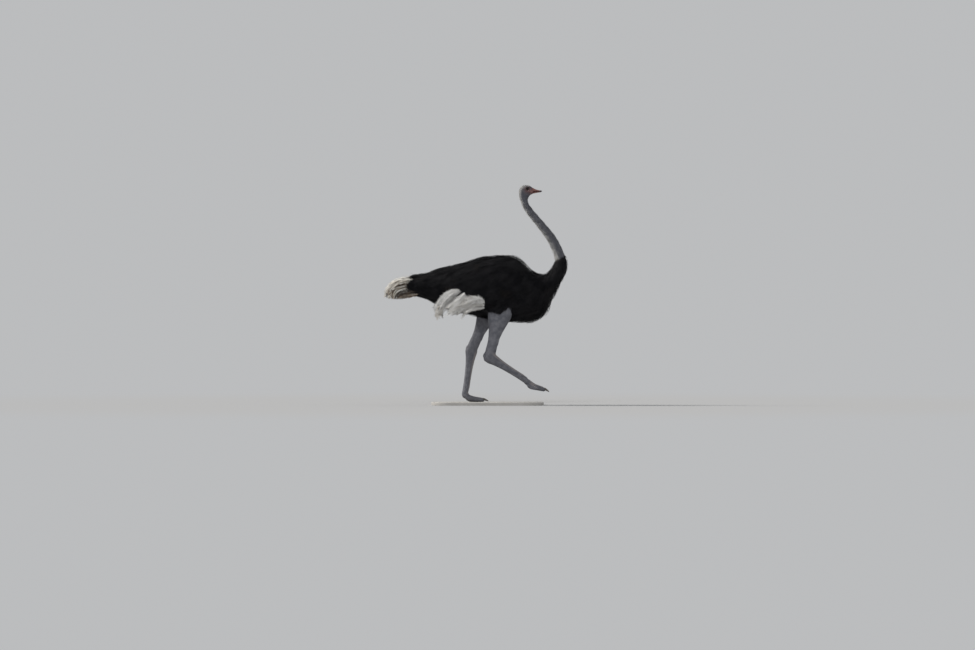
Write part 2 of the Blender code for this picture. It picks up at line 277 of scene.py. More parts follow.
def modified(name, mesh, kind, **settings):
    """The mesh as one modifier leaves it."""
    holder = add_object(name, mesh)
    modifier = holder.modifiers.new(name, kind)
    for key, value in settings.items():
        setattr(modifier, key, value)
    graph = bpy.context.evaluated_depsgraph_get()
    made = bpy.data.meshes.new_from_object(holder.evaluated_get(graph))
    bpy.data.objects.remove(holder)
    return made


def node_surface(name):
    """Points and triangles of a node's solid, with the points that share one place made one."""
    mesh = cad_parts[name].data
    mesh.calc_loop_triangles()
    points = points_of(mesh)
    _, first, index = np.unique(np.round(points / WELD_STEP).astype(np.int64), axis=0,
                                return_index=True, return_inverse=True)
    triangles = read(mesh.loop_triangles, "vertices", 3, np.int32)
    return points[first], index.reshape(-1)[triangles]


def point_normals(points, triangles):
    corner = points[triangles]
    flat = np.cross(corner[:, 1] - corner[:, 0], corner[:, 2] - corner[:, 0])
    total = np.zeros_like(points)
    for k in range(3):
        np.add.at(total, triangles[:, k], flat)
    return unit(total)


def grown(surface, amount):
    points, triangles = surface
    return points + point_normals(points, triangles) * amount, triangles


def joined(surfaces):
    """The points and faces of several surfaces as one."""
    starts = np.cumsum([0] + [len(points) for points, _ in surfaces])
    faces = [faces + start for (_, faces), start in zip(surfaces, starts)]
    return np.concatenate([points for points, _ in surfaces]), np.concatenate(faces)


def united(surfaces, voxel, grow=JOIN):
    """One closed surface round all the given ones, which are first grown so that they meet."""
    points, triangles = joined([grown(surface, grow) for surface in surfaces])
    source = make_mesh("source", points, [triangles])
    made = modified("source", source, "REMESH", mode="VOXEL", voxel_size=voxel)
    return points_of(made), read(made.polygons, "vertices", 4, np.int32)


def halves(quads):
    return np.concatenate([quads[:, [0, 1, 2]], quads[:, [0, 2, 3]]])


def quad_normals(points, quads):
    return point_normals(points, halves(quads))


def raised(points, quads, rise):
    """The points moved out along their normals by rise, each point's own."""
    return points + quad_normals(points, quads) * rise[:, None]


def averaged(values, quads, rounds, share=0.5):
    """Point values, each moved by the share towards its neighbours' average, so many times."""
    ends = np.concatenate([quads[:, [i, (i + 1) % 4]] for i in range(4)])
    count = np.bincount(ends[:, 0], minlength=len(values))
    columns = np.reshape(values, (len(values), -1)).T
    for _ in range(rounds):
        columns = [column + share * (np.bincount(ends[:, 0], column[ends[:, 1]], len(values))
                                     / count - column) for column in columns]
    return np.stack(columns, axis=1).reshape(np.shape(values))


def softened(points, quads, rounds, share=0.5):
    """The surface with its flats and corners rounded away, then pushed out to its old size."""
    soft = averaged(points, quads, rounds, share)
    normals = quad_normals(soft, quads)
    lost = averaged(np.sum((points - soft) * normals, axis=1), quads, rounds, share)
    return soft + normals * lost[:, None]


def tree_of(points, faces):
    return BVHTree.FromPolygons(points.tolist(), faces.tolist())


def nearest(tree, points):
    """The nearest places on a tree's surface, with their normals."""
    hits = [tree.find_nearest(point) for point in points.tolist()]
    return np.array([hit[0] for hit in hits]), np.array([hit[1] for hit in hits])


# ---------------------------------------------------------------- skin
TRUNK_VOXEL = 0.009
TRUNK_JOIN = 0.004  # by which the trunk's solids grow to meet
NECK_VOXEL = 0.0019
LEG_VOXEL = 0.0027
BILL_VOXEL = 0.0009
CLAW_VOXEL = 0.0008
BODY_COAT = 0.028  # depth of the skin under the body's outline
NECK_COAT = 0.003  # the same on the feathered neck
WING_SINK = 0.028  # how far the folded wings sink into the skin's shape
TAIL_ROOT = (0.42, 0.72, 0.74)  # how long, broad and high the tail's root is, of its solid
COLLAR_SLOPE = 0.56  # rise over run of the line where the neck comes bare out of the plumage
NECK_FUZZ = 0.0040  # depth of the bare skin under the outline, for its hairs
CROWN_FUZZ = 0.0060
FACE_FUZZ = 0.0012
LEG_FUZZ = 0.0008
NECK_WRINKLE = 0.0005  # height of the fine wrinkles across the neck
NECK_WAVE = 0.0012  # height of the slow waves along it
COLLAR_SINK = 0.009  # how far its lower end dives under the plumage
EYE_BALL = 0.0205
CORNEA = 0.035  # how far the cornea bulges, as a share of the ball's radius
LEG_PARTS = ("drumstick_", "shank_", "toe_inner_", "toe_outer_")

eye_middle = {side: np.array(sum(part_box("eye_" + side), Vector()) / 2) for side in SIDES}
eye_x, _, eye_z = eye_middle["left"]
neck_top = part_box("neck_upper")[1].z
neck_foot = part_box("neck_upper")[0].z
collar_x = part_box("neck_upper")[1].x - 0.060
bill_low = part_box("bill_upper")[0]
bill_split = (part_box("bill_lower")[1].z + bill_low.z) / 2
tail_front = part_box("tail")[1].x


def rings_surface(rings):
    """Points and quads of a surface through closed rings, given as rows x around x 3."""
    rows, around = rings.shape[:2]
    i = np.arange(around)
    j = (i + 1) % around
    quads = [np.stack([i, around + i, around + j, j], 1) + k * around for k in range(rows - 1)]
    return rings.reshape(-1, 3), np.concatenate(quads)


def ball_rings(radius, out, ahead, up, bulge=0.0, rows=48, around=64):
    """Rings of a ball about an axis, with a cornea's bulge at its front, and their angles off it."""
    off = np.linspace(0.002, math.pi - 0.002, rows)[:, None, None]
    turn = (np.arange(around) * math.tau / around)[None, :, None]
    across = (np.cos(turn) * ahead + np.sin(turn) * up) * np.sin(off)
    rings = across + out * np.cos(off) * (1.0 + bulge * bell(off, 0.0, 0.62))
    return rings * radius, np.repeat(off, around)


def bone_line(name):
    """Upper end, lower end and direction of a long node, by its principal axis."""
    points, _ = node_surface(name)
    middle = points.mean(axis=0)
    axis = np.linalg.svd(points - middle, full_matrices=False)[2][0]
    axis = axis if axis[2] < 0 else -axis
    along = (points - middle) @ axis
    return middle + axis * along.min(), middle + axis * along.max(), axis


def outward(quads, side):
    """Faces of rings about the eye's axis, turned so that they face outwards on either side."""
    return quads[:, ::-1] if side == "left" else quads


def ball(centre, radius):
    rings, _ = ball_rings(radius, *eye_frame("right"))
    points, quads = rings_surface(rings + np.array(centre))
    return points, halves(quads)


def above_collar(points):
    """How high points are over the line where the neck comes bare out of the plumage."""
    return points[:, 2] - neck_foot - COLLAR_SLOPE * (points[:, 0] - collar_x)


def feathered_neck(points):
    """0 on the body, rising to 1 on the feathered part of the neck."""
    x, z = points[:, 0], points[:, 2]
    return smoothstep(z, neck_foot - 0.26, neck_foot - 0.08) * smoothstep(x, 0.46, 0.62)


# Where the plumage stands fuller along the back: centre, radii and height.
BACK_CRESTS = [
    ((0.30, 0.0, 1.43), (0.12, 0.17, 0.10), 0.032),
    ((-0.05, 0.0, 1.42), (0.30, 0.16, 0.10), 0.008),
    ((-0.45, 0.0, 1.31), (0.14, 0.12, 0.10), 0.016),
]


def body_skin():
    """The hidden skin of trunk, wings, tail root and feathered neck, inside the plumage. Its
    upper end runs on inside the bare neck."""
    surfaces = [node_surface("trunk"), node_surface("neck_lower")]
    for side, hand in SIDES.items():
        points, triangles = node_surface("wing_" + side)
        surfaces.append((points - np.array([0.0, hand, 0.5]) * WING_SINK, triangles))
    points, triangles = node_surface("tail")
    root = np.array([tail_front + 0.02, 0.0, points[:, 2].mean() + 0.01])
    surfaces.append((root + (points - root) * TAIL_ROOT, triangles))
    surfaces.append(ball((collar_x, 0.0, neck_foot + 0.045), 0.043))
    points, quads = united(surfaces, TRUNK_VOXEL, TRUNK_JOIN)
    points = softened(points, quads, 160, 0.5 - 0.47 * feathered_neck(points))
    depth = BODY_COAT + (NECK_COAT - BODY_COAT) * feathered_neck(points)
    for crest in BACK_CRESTS:
        depth -= swell(points, *crest)
    return averaged(raised(points, quads, -(depth + TRUNK_JOIN)), quads, 4), quads


def swell(points, centre, radii, amount=1.0):
    """A soft bump's height at each point: amount at the centre, fading over the radii."""
    away = (points - np.array(centre)) / np.array(radii)
    return amount * np.exp(-np.sum(away**2, axis=1))


def groove_near(points, start, end, width):
    """1 on the line from start to end, fading to 0 over width, and the share along it."""
    start, end = np.array(start), np.array(end)
    leg = end - start
    share = np.clip((points - start) @ leg / (leg @ leg), 0.0, 1.0)
    away = np.linalg.norm(points - start - share[:, None] * leg, axis=1)
    return bell(away, 0.0, width), share


def eye_frame(side):
    """The eye's outward axis, and the ways across it forwards and up."""
    out = unit(np.array([0.20, SIDES[side], 0.04]))
    ahead = unit(np.array([1.0, 0.0, -0.10]) - out * out[0])
    up = np.cross(ahead, out) * SIDES[side]
    return out, ahead, up if up[2] > 0 else -up


def past_bill_edge(points):
    """How far ahead each point is of the line where skin gives way to horn."""
    height = points[:, 2] - bill_split
    upper = 0.003 + 0.013 * bell(height, 0.012, 0.011)
    lower = 0.003 + 0.006 * bell(height, -0.014, 0.010)
    corner = 0.005 * bell(height, 0.0, 0.0045)
    return points[:, 0] - bill_low.x - np.where(height > 0, upper, lower) - corner


# Marks on the horn of the upper bill. Places are ahead of its rear or front end, out from the
# midplane and above the line between the halves.
NOSTRIL = ((0.034, 0.0150, 0.0215), (0.050, 0.0145, 0.0170))  # both ends of the slit, from the rear
NOSTRIL_WIDTH = 0.0028
NOSTRIL_DEPTH = 0.0048
RIM_WIDTH = 0.0062
RIM_HEIGHT = 0.0013
CREASE_START = (0.047, 0.017, 0.0165)  # from the rear
CREASE_END = (-0.014, 0.0135, 0.0075)  # from the front
CREASE_WIDTH = 0.0017
CREASE_DEPTH = 0.0011
NAIL_HEIGHT = 0.0009


def horn_surface(name):
    """The horn of one half of the bill, with its marks."""

    def spot(end, hand, place):
        """A place on the horn, from one end of it and on one hand."""
        ahead, out, up = place
        return end + ahead, hand * out, bill_split + up

    points, quads = united([node_surface(name)], BILL_VOXEL, JOIN / 2)
    points = softened(points, quads, 50)
    low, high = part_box(name)
    rise = np.full(len(points), -JOIN / 2)
    dark = np.zeros(len(points))
    if name == "bill_upper":
        for hand in SIDES.values():
            slit = [spot(low.x, hand, place) for place in NOSTRIL]
            nostril, _ = groove_near(points, *slit, NOSTRIL_WIDTH)
            rim, _ = groove_near(points, *slit, RIM_WIDTH)
            rise += RIM_HEIGHT * rim - NOSTRIL_DEPTH * nostril
            # Painted shade in the nostril's slit.
            dark = np.maximum(dark, smoothstep(nostril, 0.25, 0.7))
            crease, _ = groove_near(points, spot(low.x, hand, CREASE_START),
                                    spot(high.x, hand, CREASE_END), CREASE_WIDTH)
            rise -= CREASE_DEPTH * crease
        nail = smoothstep(points[:, 0], high.x - 0.024, high.x - 0.021)
        on_top = smoothstep(points[:, 2], bill_split + 0.002, bill_split + 0.005)
        rise += NAIL_HEIGHT * nail * on_top
    edge = bell(points[:, 2], bill_split, 0.0022)
    tip = smoothstep(points[:, 0], high.x - 0.032, high.x - 0.016)
    return raised(points, quads, rise), quads, {"tip": tip, "edge": edge, "dark": dark}


# Swellings and hollows of the face: place ahead of and above the eye's middle, distance out
# from the midplane, radii and height.
FACE = [
    ((0.002, 0.0215), 0.036, (0.028, 0.014, 0.0062), 0.0034),  # brow
    ((0.004, -0.027), 0.036, (0.020, 0.020, 0.0070), 0.0020),  # below the lower lid
    ((-0.018, -0.046), 0.030, (0.016, 0.020, 0.0150), 0.0030),  # jaw muscle
    ((0.031, -0.006), 0.034, (0.010, 0.016, 0.0120), -0.0032),  # hollow before the eye
    ((-0.028, 0.010), 0.038, (0.010, 0.016, 0.0160), -0.0016),  # hollow behind it
]
EAR = (-0.041, 0.036, -0.014)  # ahead of the eye's middle, out from the midplane, and above it
EAR_RIM_RADII = (0.0095, 0.02, 0.0110)
EAR_HOLE_RADII = (0.0044, 0.02, 0.0056)
EAR_RIM = 0.0026  # height
EAR_HOLE = 0.0105  # depth
# The gape runs on from the bill's corner down the cheek, with a lip round it.
GAPE_END = (0.007, 0.037, -0.034)  # from the eye's middle and the midplane, like the ear
GAPE_WIDTH = 0.0022
GAPE_DEPTH = 0.0046
LIP_END = (0.004, 0.037, -0.036)
LIP_WIDTH = 0.0070
LIP_HEIGHT = 0.0017
WEB_HEIGHT = 0.0030  # of the skin between the halves of the bill


def face_marks(points):
    """Where the face is pink, and where it is dark: lores, lids and the skin round the eye."""
    local = np.stack([points[:, 0] - eye_x, np.abs(points[:, 1]), points[:, 2] - eye_z], axis=1)
    pink = swell(local, (0.046, 0, -0.026), (0.030, 0.08, 0.026), 1.1)
    pink = np.maximum(pink, swell(local, (0.012, 0.04, -0.012), (0.034, 0.03, 0.026), 0.75))
    shade = swell(local, (0.004, 0.04, -0.002), (0.027, 0.03, 0.021), 1.0)
    return np.clip(pink, 0, 1), np.clip(shade, 0, 1)


def neck_skin(horns):
    """The bare skin of neck and head, shaped round eye, ear, brow and gape. Its lower end runs
    on inside the plumage, and its front end inside the horn of the bill."""
    surfaces = [node_surface("neck_upper"), node_surface("head")]
    surfaces += [grown(node_surface(name), -0.0015) for name in horns]
    surfaces += [ball(eye_middle[side], EYE_BALL - 0.001) for side in SIDES]
    surfaces.append(ball((collar_x + 0.016, 0.0, neck_foot - 0.018), 0.036))
    points, quads = united(surfaces, NECK_VOXEL)
    points = softened(points, quads, 55)
    x, y, z = points.T
    normals = quad_normals(points, quads)
    on_head = smoothstep(z, neck_top - 0.06, neck_top + 0.02)
    crown = on_head * smoothstep(normals[:, 2] * 0.8 - normals[:, 0] * 0.6, 0.25, 0.85)
    crown *= smoothstep(x, bill_low.x + 0.01, bill_low.x - 0.03)
    depth = NECK_FUZZ + (FACE_FUZZ - NECK_FUZZ) * on_head + (CROWN_FUZZ - FACE_FUZZ) * crown
    rise = -JOIN - depth
    pink, shade = face_marks(points)
    dark = np.zeros(len(points))
    for hand in SIDES.values():
        local = (points - (eye_x, 0.0, eye_z)) * (1, hand, 1)
        for (ahead, up), out, radii, height in FACE:
            rise += swell(local, (ahead, out, up), radii, height)
        hole = swell(local, EAR, EAR_HOLE_RADII)
        rise += swell(local, EAR, EAR_RIM_RADII, EAR_RIM) - EAR_HOLE * hole
        # Painted shade in the ear's hole.
        dark = np.maximum(dark, smoothstep(hole, 0.35, 0.9))
        corner = (bill_low.x + 0.010 - eye_x, 0.0305, bill_split - eye_z)
        gape, share = groove_near(local, corner, GAPE_END, GAPE_WIDTH)
        lip, _ = groove_near(local, corner, LIP_END, LIP_WIDTH)
        rise += LIP_HEIGHT * lip - GAPE_DEPTH * gape * (1 - 0.6 * share)
        # Painted shade along the gape.
        dark = np.maximum(dark, gape * 0.8)
    wrinkle = np.sin(z * 330 + 3 * np.sin(x * 60) + 2 * np.sin(y * 90))
    rise += (1 - on_head) * wrinkle * NECK_WRINKLE
    rise += NECK_WAVE * (1 - on_head) * np.sin(z * 95 + 2 * np.sin(y * 40))
    ahead = np.where(z > neck_top, past_bill_edge(points), -1.0)
    rise += 0.0008 * smoothstep(ahead, -0.014, -0.004) - 0.0022 * smoothstep(ahead, -0.001, 0.003)
    web = bell(z, bill_split, 0.0035) * smoothstep(ahead, 0.012, 0.002)
    rise += WEB_HEIGHT * web * (ahead > -0.008)
    # Painted shade on the skin ahead of the bill's edge, between the bill's halves and under its horn.
    dark = np.maximum(dark, smoothstep(ahead, 0.005, 0.012))
    # Skin that faces back and up, towards the key lamp. The finish paints it pale there: painted light.
    back = smoothstep(-normals[:, 0] + 0.35 * normals[:, 2], 0.15, 0.95)
    height = above_collar(points)
    rise -= COLLAR_SINK * smoothstep(height, 0.006, -0.035)
    under = smoothstep(height, 0.006, -0.006)
    return raised(points, quads, rise), quads, {
        "pink": pink, "shade": shade, "back": back, "under": under, "dark": np.clip(dark, 0, 1)}


LID_ANGLES = 72
LID_HALF_LENGTH = 0.0156
LID_HALF_HEIGHT = 0.0118
# Rings of a lid: how far out from the opening's edge, how high over the eye or the skin, and how
# dark the ring is.
# The dark grows towards the lid's edge; where the lid tucks against the eyeball and in its creases, it
# is painted shade.
LID_RINGS = [
    (-0.0020, -0.0016, 1.0), (-0.0008, 0.0000, 1.0), (0.0000, 0.0009, 1.0), (0.0010, 0.0018, 0.9),
    (0.0020, 0.0018, 0.6), (0.0030, 0.0007, 0.7), (0.0042, 0.0012, 0.3), (0.0054, 0.0016, 0.2),
    (0.0066, 0.0006, 0.3), (0.0080, 0.0009, 0.1), (0.0096, 0.0008, 0.0), (0.0114, 0.0001, 0.0),
    (0.0136, -0.0014, 0.0),
]


def lid_edge(angle):
    """Distance of the eye's opening from its middle, at an angle from straight forwards."""
    across, up = np.cos(angle), np.sin(angle)
    height = np.where(up > 0, LID_HALF_HEIGHT, LID_HALF_HEIGHT * 0.92)
    return 1.0 / ((np.abs(across) / LID_HALF_LENGTH) ** 2.2
                  + (np.abs(up) / height) ** 2.2) ** (1 / 2.2)


def lid_rings(side, tree):
    """The rings of one eye's lids, laid over the eyeball and the skin round it."""
    out, ahead, up = eye_frame(side)
    centre = eye_middle[side]
    angle = np.arange(LID_ANGLES) * math.tau / LID_ANGLES
    rings = []
    for gap, height, _ in LID_RINGS:
        reach = lid_edge(angle) + gap
        flat = (centre + np.cos(angle)[:, None] * ahead * reach[:, None]
                + np.sin(angle)[:, None] * up * reach[:, None])
        level = np.sqrt(np.maximum(EYE_BALL**2 - reach**2, 0.0))
        if gap > 0.001:
            hits = [tree.ray_cast((spot + out * 0.08).tolist(), (-out).tolist(), 0.12)[0]
                    for spot in flat]
            skin = [(np.array(hit) - spot) @ out for hit, spot in zip(hits, flat)]
            level = np.maximum(level, skin)
        heavy = 1.0 + 0.35 * smoothstep(np.sin(angle), 0.0, 0.7)
        rings.append(flat + out * (level + height * heavy)[:, None])
    rings = np.array(rings)
    level = (rings - centre) @ out
    for k in range(3, len(LID_RINGS) - 2):
        even = (level[k - 1] + 2 * level[k] + level[k + 1]) / 4
        rings[k] += out * (0.5 * (even - level[k]))[:, None]
    return rings


def cut_for_eye(points, side):
    """The skin, sunk behind the eye's opening."""
    out, ahead, up = eye_frame(side)
    local = points - eye_middle[side]
    ahead_by, up_by = local @ ahead, local @ up
    past = np.hypot(ahead_by, up_by) - lid_edge(np.arctan2(up_by, ahead_by))
    inside = smoothstep(0.0075 - past, 0.0, 0.004) * (local @ out > 0)
    return points - (inside * 0.012)[:, None] * out


SCUTE = 0.0125  # length of a scute down the shank's front
TOE_SCUTE = 0.0085
SCUTE_HEIGHT = 0.0021  # how far a scute stands out
TOE_SCUTE_HEIGHT = 0.0012
HOCK_KNOB = 0.0006  # height of the knobs on the hock's skin
CALF_HOLLOW = 0.0034  # depth of the hollows beside the tendon above the hock
SHANK_HOLLOW = 0.0022  # depth of those down the shank's sides
ANKLE_SINK = 0.0065  # how far the corner over the toes is worn back


def across_bone(points, name, forward=(1.0, 0.0, 0.0)):
    """Share of the way down a bone's node, length down it, angle round it from its front, and
    distance from its line."""
    start, end, axis = bone_line(name)
    front = unit(np.array(forward) - axis * (np.array(forward) @ axis))
    side = np.cross(axis, front)
    local = points - start
    length = local @ axis
    away = np.linalg.norm(local - length[:, None] * axis, axis=1)
    return (length / np.linalg.norm(end - start), length,
            np.arctan2(local @ side, local @ front), away)


def shingles(length, angle, step, half_angle):
    """Height of a column of plates that overlap downwards, and how much a point is on it."""
    row = (length / step) % 1.0
    plate = smoothstep(row, 0.0, 0.35) * (0.35 + 0.65 * row) * smoothstep(1.0 - row, 0.0, 0.12)
    column = smoothstep(half_angle - np.abs(angle), 0.0, 0.16)
    return plate * column, column


def leg_skin(side):
    """The bare skin of one leg. A stub of its thigh runs on up into the plumage."""
    surfaces = [node_surface(part + side) for part in LEG_PARTS]
    top, _, axis = bone_line("drumstick_" + side)
    points, triangles = surfaces[0]
    stub = points - axis * 0.09
    stub[:, 1] += (top[1] - stub[:, 1]) * 0.12 - SIDES[side] * 0.012
    surfaces.append((stub, triangles))
    points, quads = united(surfaces, LEG_VOXEL)
    share, _, _, away = across_bone(points, "shank_" + side)
    foot = smoothstep(share, 1.04, 1.14) * (away < 0.25)
    ankle = bell(share, 0.98, 0.07) * (away < 0.25)
    points = softened(points, quads, 120, 0.25 + 0.25 * ankle - 0.21 * foot)
    rise = np.full(len(points), -JOIN - LEG_FUZZ)
    share, _, angle, away = across_bone(points, "drumstick_" + side)
    calf = band(share, 0.50, 0.72, 0.90, 0.99) * (away < 0.12)
    rise -= CALF_HOLLOW * calf * bell(np.abs(angle), 1.95, 0.33)
    share, length, angle, away = across_bone(points, "shank_" + side)
    on_shank = band(share, 0.05, 0.24, 0.86, 0.98) * smoothstep(away, 0.085, 0.055)
    rise -= SHANK_HOLLOW * on_shank * bell(np.abs(angle), 1.75, 0.30)
    rise -= ANKLE_SINK * ankle * smoothstep(np.abs(angle), 1.3, 0.6)
    wavy = length + 0.0014 * np.sin(angle * 3 + length * 90)
    plate, front = shingles(wavy, angle, SCUTE, 0.80)
    rise += on_shank * SCUTE_HEIGHT * plate
    front = on_shank * front
    for toe, half in (("toe_inner_", 1.0), ("toe_outer_", 0.95)):
        share, length, angle, away = across_bone(points, toe + side, forward=(0.35, 0.0, 1.0))
        on_toe = band(share, 0.12, 0.3, 0.93, 1.02) * (away < 0.045)
        plate, column = shingles(length, angle, TOE_SCUTE, half)
        rise += on_toe * (1 - on_shank) * TOE_SCUTE_HEIGHT * plate
        front = np.maximum(front, on_toe * (1 - on_shank) * column)
    hock = bone_line("shank_" + side)[0]
    knobs = np.sin(points[:, 2] * 420 + 2 * np.sin(points[:, 0] * 160))
    rise += swell(points, hock, (0.07, 0.07, 0.07)) * HOCK_KNOB * knobs
    points = raised(points, quads, rise)
    scaly = smoothstep(points[:, 2], hock[2] + 0.11, hock[2] + 0.01)
    under = smoothstep(above_leg_line(points, side), 0.006, 0.016)
    return points, quads, {"front": front, "leg": 1.0, "scaly": scaly, "under": under}


# ---------------------------------------------------------------- feathers
PATCH = 0.003  # size of each tuft's patch on its map
PIECE_TRIANGLES = 185_000  # the most that one piece of coat holds
TRIES = 3.5  # places tried for a tuft, for each square of its spacing
CLOSEST = 0.75  # how near two tufts may stand, as a share of their spacing
LEAN_SPREAD = 8  # how much barbs differ in lean, in degrees
LENGTH_SPREAD = 0.28  # how much they differ in length, as a share of it
SAG = 0.35  # how far a drooping barb bends straight down, beside its bend to the surface
# The line that the unwrap follows: rump, trunk, neck and head, as x and height over the floor.
SPINE = np.array([(-0.78, 1.15), (-0.3, 1.12), (0.15, 1.12), (0.5, 1.1), (0.66, 1.3),
                  (0.7, 1.5), (0.5, 1.78), (0.37, 2.0), (0.37, 2.2)])


def unwrap(points):
    """Where points lie on an unwrap of the skin: round the body's long axis, and along it."""
    steps = np.concatenate([[0.0], np.cumsum(np.linalg.norm(np.diff(SPINE, axis=0), axis=1))])
    flat = points[:, [0, 2]]
    best = np.full(len(points), np.inf)
    along = np.zeros(len(points))
    side = np.zeros(len(points))
    for i in range(len(SPINE) - 1):
        leg = SPINE[i + 1] - SPINE[i]
        share = np.clip((flat - SPINE[i]) @ leg / (leg @ leg), 0.0, 1.0)
        foot = SPINE[i] + share[:, None] * leg
        distance = np.linalg.norm(flat - foot, axis=1)
        nearer = distance < best
        best[nearer] = distance[nearer]
        along[nearer] = (steps[i] + share * (steps[i + 1] - steps[i]))[nearer]
        across = leg[0] * (flat - foot)[:, 1] - leg[1] * (flat - foot)[:, 0]
        side[nearer] = (across / np.linalg.norm(leg))[nearer]
    turn = np.arctan2(points[:, 1], side) / math.tau + 0.5
    return np.stack([0.01 + 0.98 * turn, 0.01 + 0.98 * along / steps[-1]], axis=1)


def scatter(surface, spacing, keep):
    """Random places on a surface, none much nearer to another than spacing, with their normals.
    keep(points, normals) is the share to keep there. They come sorted by their map's height."""
    points, quads = surface
    triangles = halves(quads)
    corner = points[triangles]
    normals = point_normals(points, triangles)
    across = np.cross(corner[:, 1] - corner[:, 0], corner[:, 2] - corner[:, 0])
    area = np.linalg.norm(across, axis=1) / 2
    area *= keep(corner.mean(axis=1), unit(normals[triangles].mean(axis=1)))
    tries = int(area.sum() / spacing**2 * TRIES)
    picked = RANDOM.choice(len(area), tries, p=area / area.sum())
    a, b = RANDOM.random((2, tries))
    flip = a + b > 1
    a[flip], b[flip] = 1 - a[flip], 1 - b[flip]
    shares = np.stack([1 - a - b, a, b], axis=1)[..., None]
    spots = np.sum(corner[picked] * shares, axis=1)
    facing = unit(np.sum(normals[triangles[picked]] * shares, axis=1))
    near = spacing * CLOSEST
    taken = {}
    chosen = []
    around = [(x, y, z) for x in (-1, 0, 1) for y in (-1, 0, 1) for z in (-1, 0, 1)]
    places = spots.tolist()
    for i, (cx, cy, cz) in enumerate(np.floor(spots / near).astype(int).tolist()):
        x, y, z = places[i]
        others = (other for dx, dy, dz in around
                  for other in taken.get((cx + dx, cy + dy, cz + dz), ()))
        close = any(abs(x - ox) < near and abs(y - oy) < near and abs(z - oz) < near
                    for ox, oy, oz in others)
        if not close:
            taken.setdefault((cx, cy, cz), []).append(places[i])
            chosen.append(i)
    chosen = np.array(chosen)
    chosen = chosen[np.argsort(unwrap(spots[chosen])[:, 1])]
    return spots[chosen], facing[chosen]


def laid(ways, normals):
    """The ways, turned so that they lie along a surface with those normals."""
    return unit(ways - normals * np.sum(ways * normals, axis=1, keepdims=True))


def combed(tree, roots, lies, lengths, heights, loose=0.16, nodes=7):
    """Shafts that lie along a surface. From each root a shaft runs the way that lies(points)
    gives, rising to its height above the surface. Returns points and the surface's normals."""
    path = np.empty((len(roots), nodes, 3))
    ups = np.empty((len(roots), nodes, 3))
    place = roots.copy()
    wander = RANDOM.normal(0, loose, (len(roots), 3))
    for k in range(nodes):
        foot, normal = nearest(tree, place)
        if k:
            normal = unit(normal + ups[:, k - 1])
        lift = heights * (1 - (1 - k / (nodes - 1)) ** 2)
        path[:, k] = foot + normal * lift[:, None]
        ups[:, k] = normal
        place = foot + laid(lies(path[:, k]) + wander, normal) * (lengths / (nodes - 1))[:, None]
    return path, ups


def along_paths(path, share):
    """Points at the given shares, each plume's own, along paths of evenly spaced nodes."""
    last = path.shape[1] - 1
    low = np.clip((share * last).astype(int), 0, last - 1)
    t = (share * last - low)[..., None]
    rows = np.arange(len(path))[:, None]
    return path[rows, low] * (1 - t) + path[rows, low + 1] * t


def strips(start, ways, length, flat, blade):
    """Thin blades that taper to a point. ways holds each blade's direction at each of its joints.
    Returns points, faces and how far along its blade each point is."""
    joints = ways.shape[-2]
    place = start
    rows = []
    for k in range(joints):
        half = flat * (blade / 2 * (1 - 0.5 * (k / joints) ** 2))
        rows += [place - half, place + half]
        place = place + ways[..., k, :] * (length / joints)[..., None]
    rows.append(place)
    points = np.stack(rows, axis=-2)
    size = points.shape[-2]
    points = points.reshape(-1, 3)
    first = np.arange(len(points) // size)[:, None] * size
    quads = [first + np.array([[0, 1, 3, 2]]) + 2 * k for k in range(joints - 1)]
    faces = [np.concatenate(quads), first + np.array([[size - 3, size - 2, size - 1]])]
    reach = np.append(np.repeat(np.arange(joints) / joints, 2), 1.0)
    return points, faces, np.tile(reach, len(first))


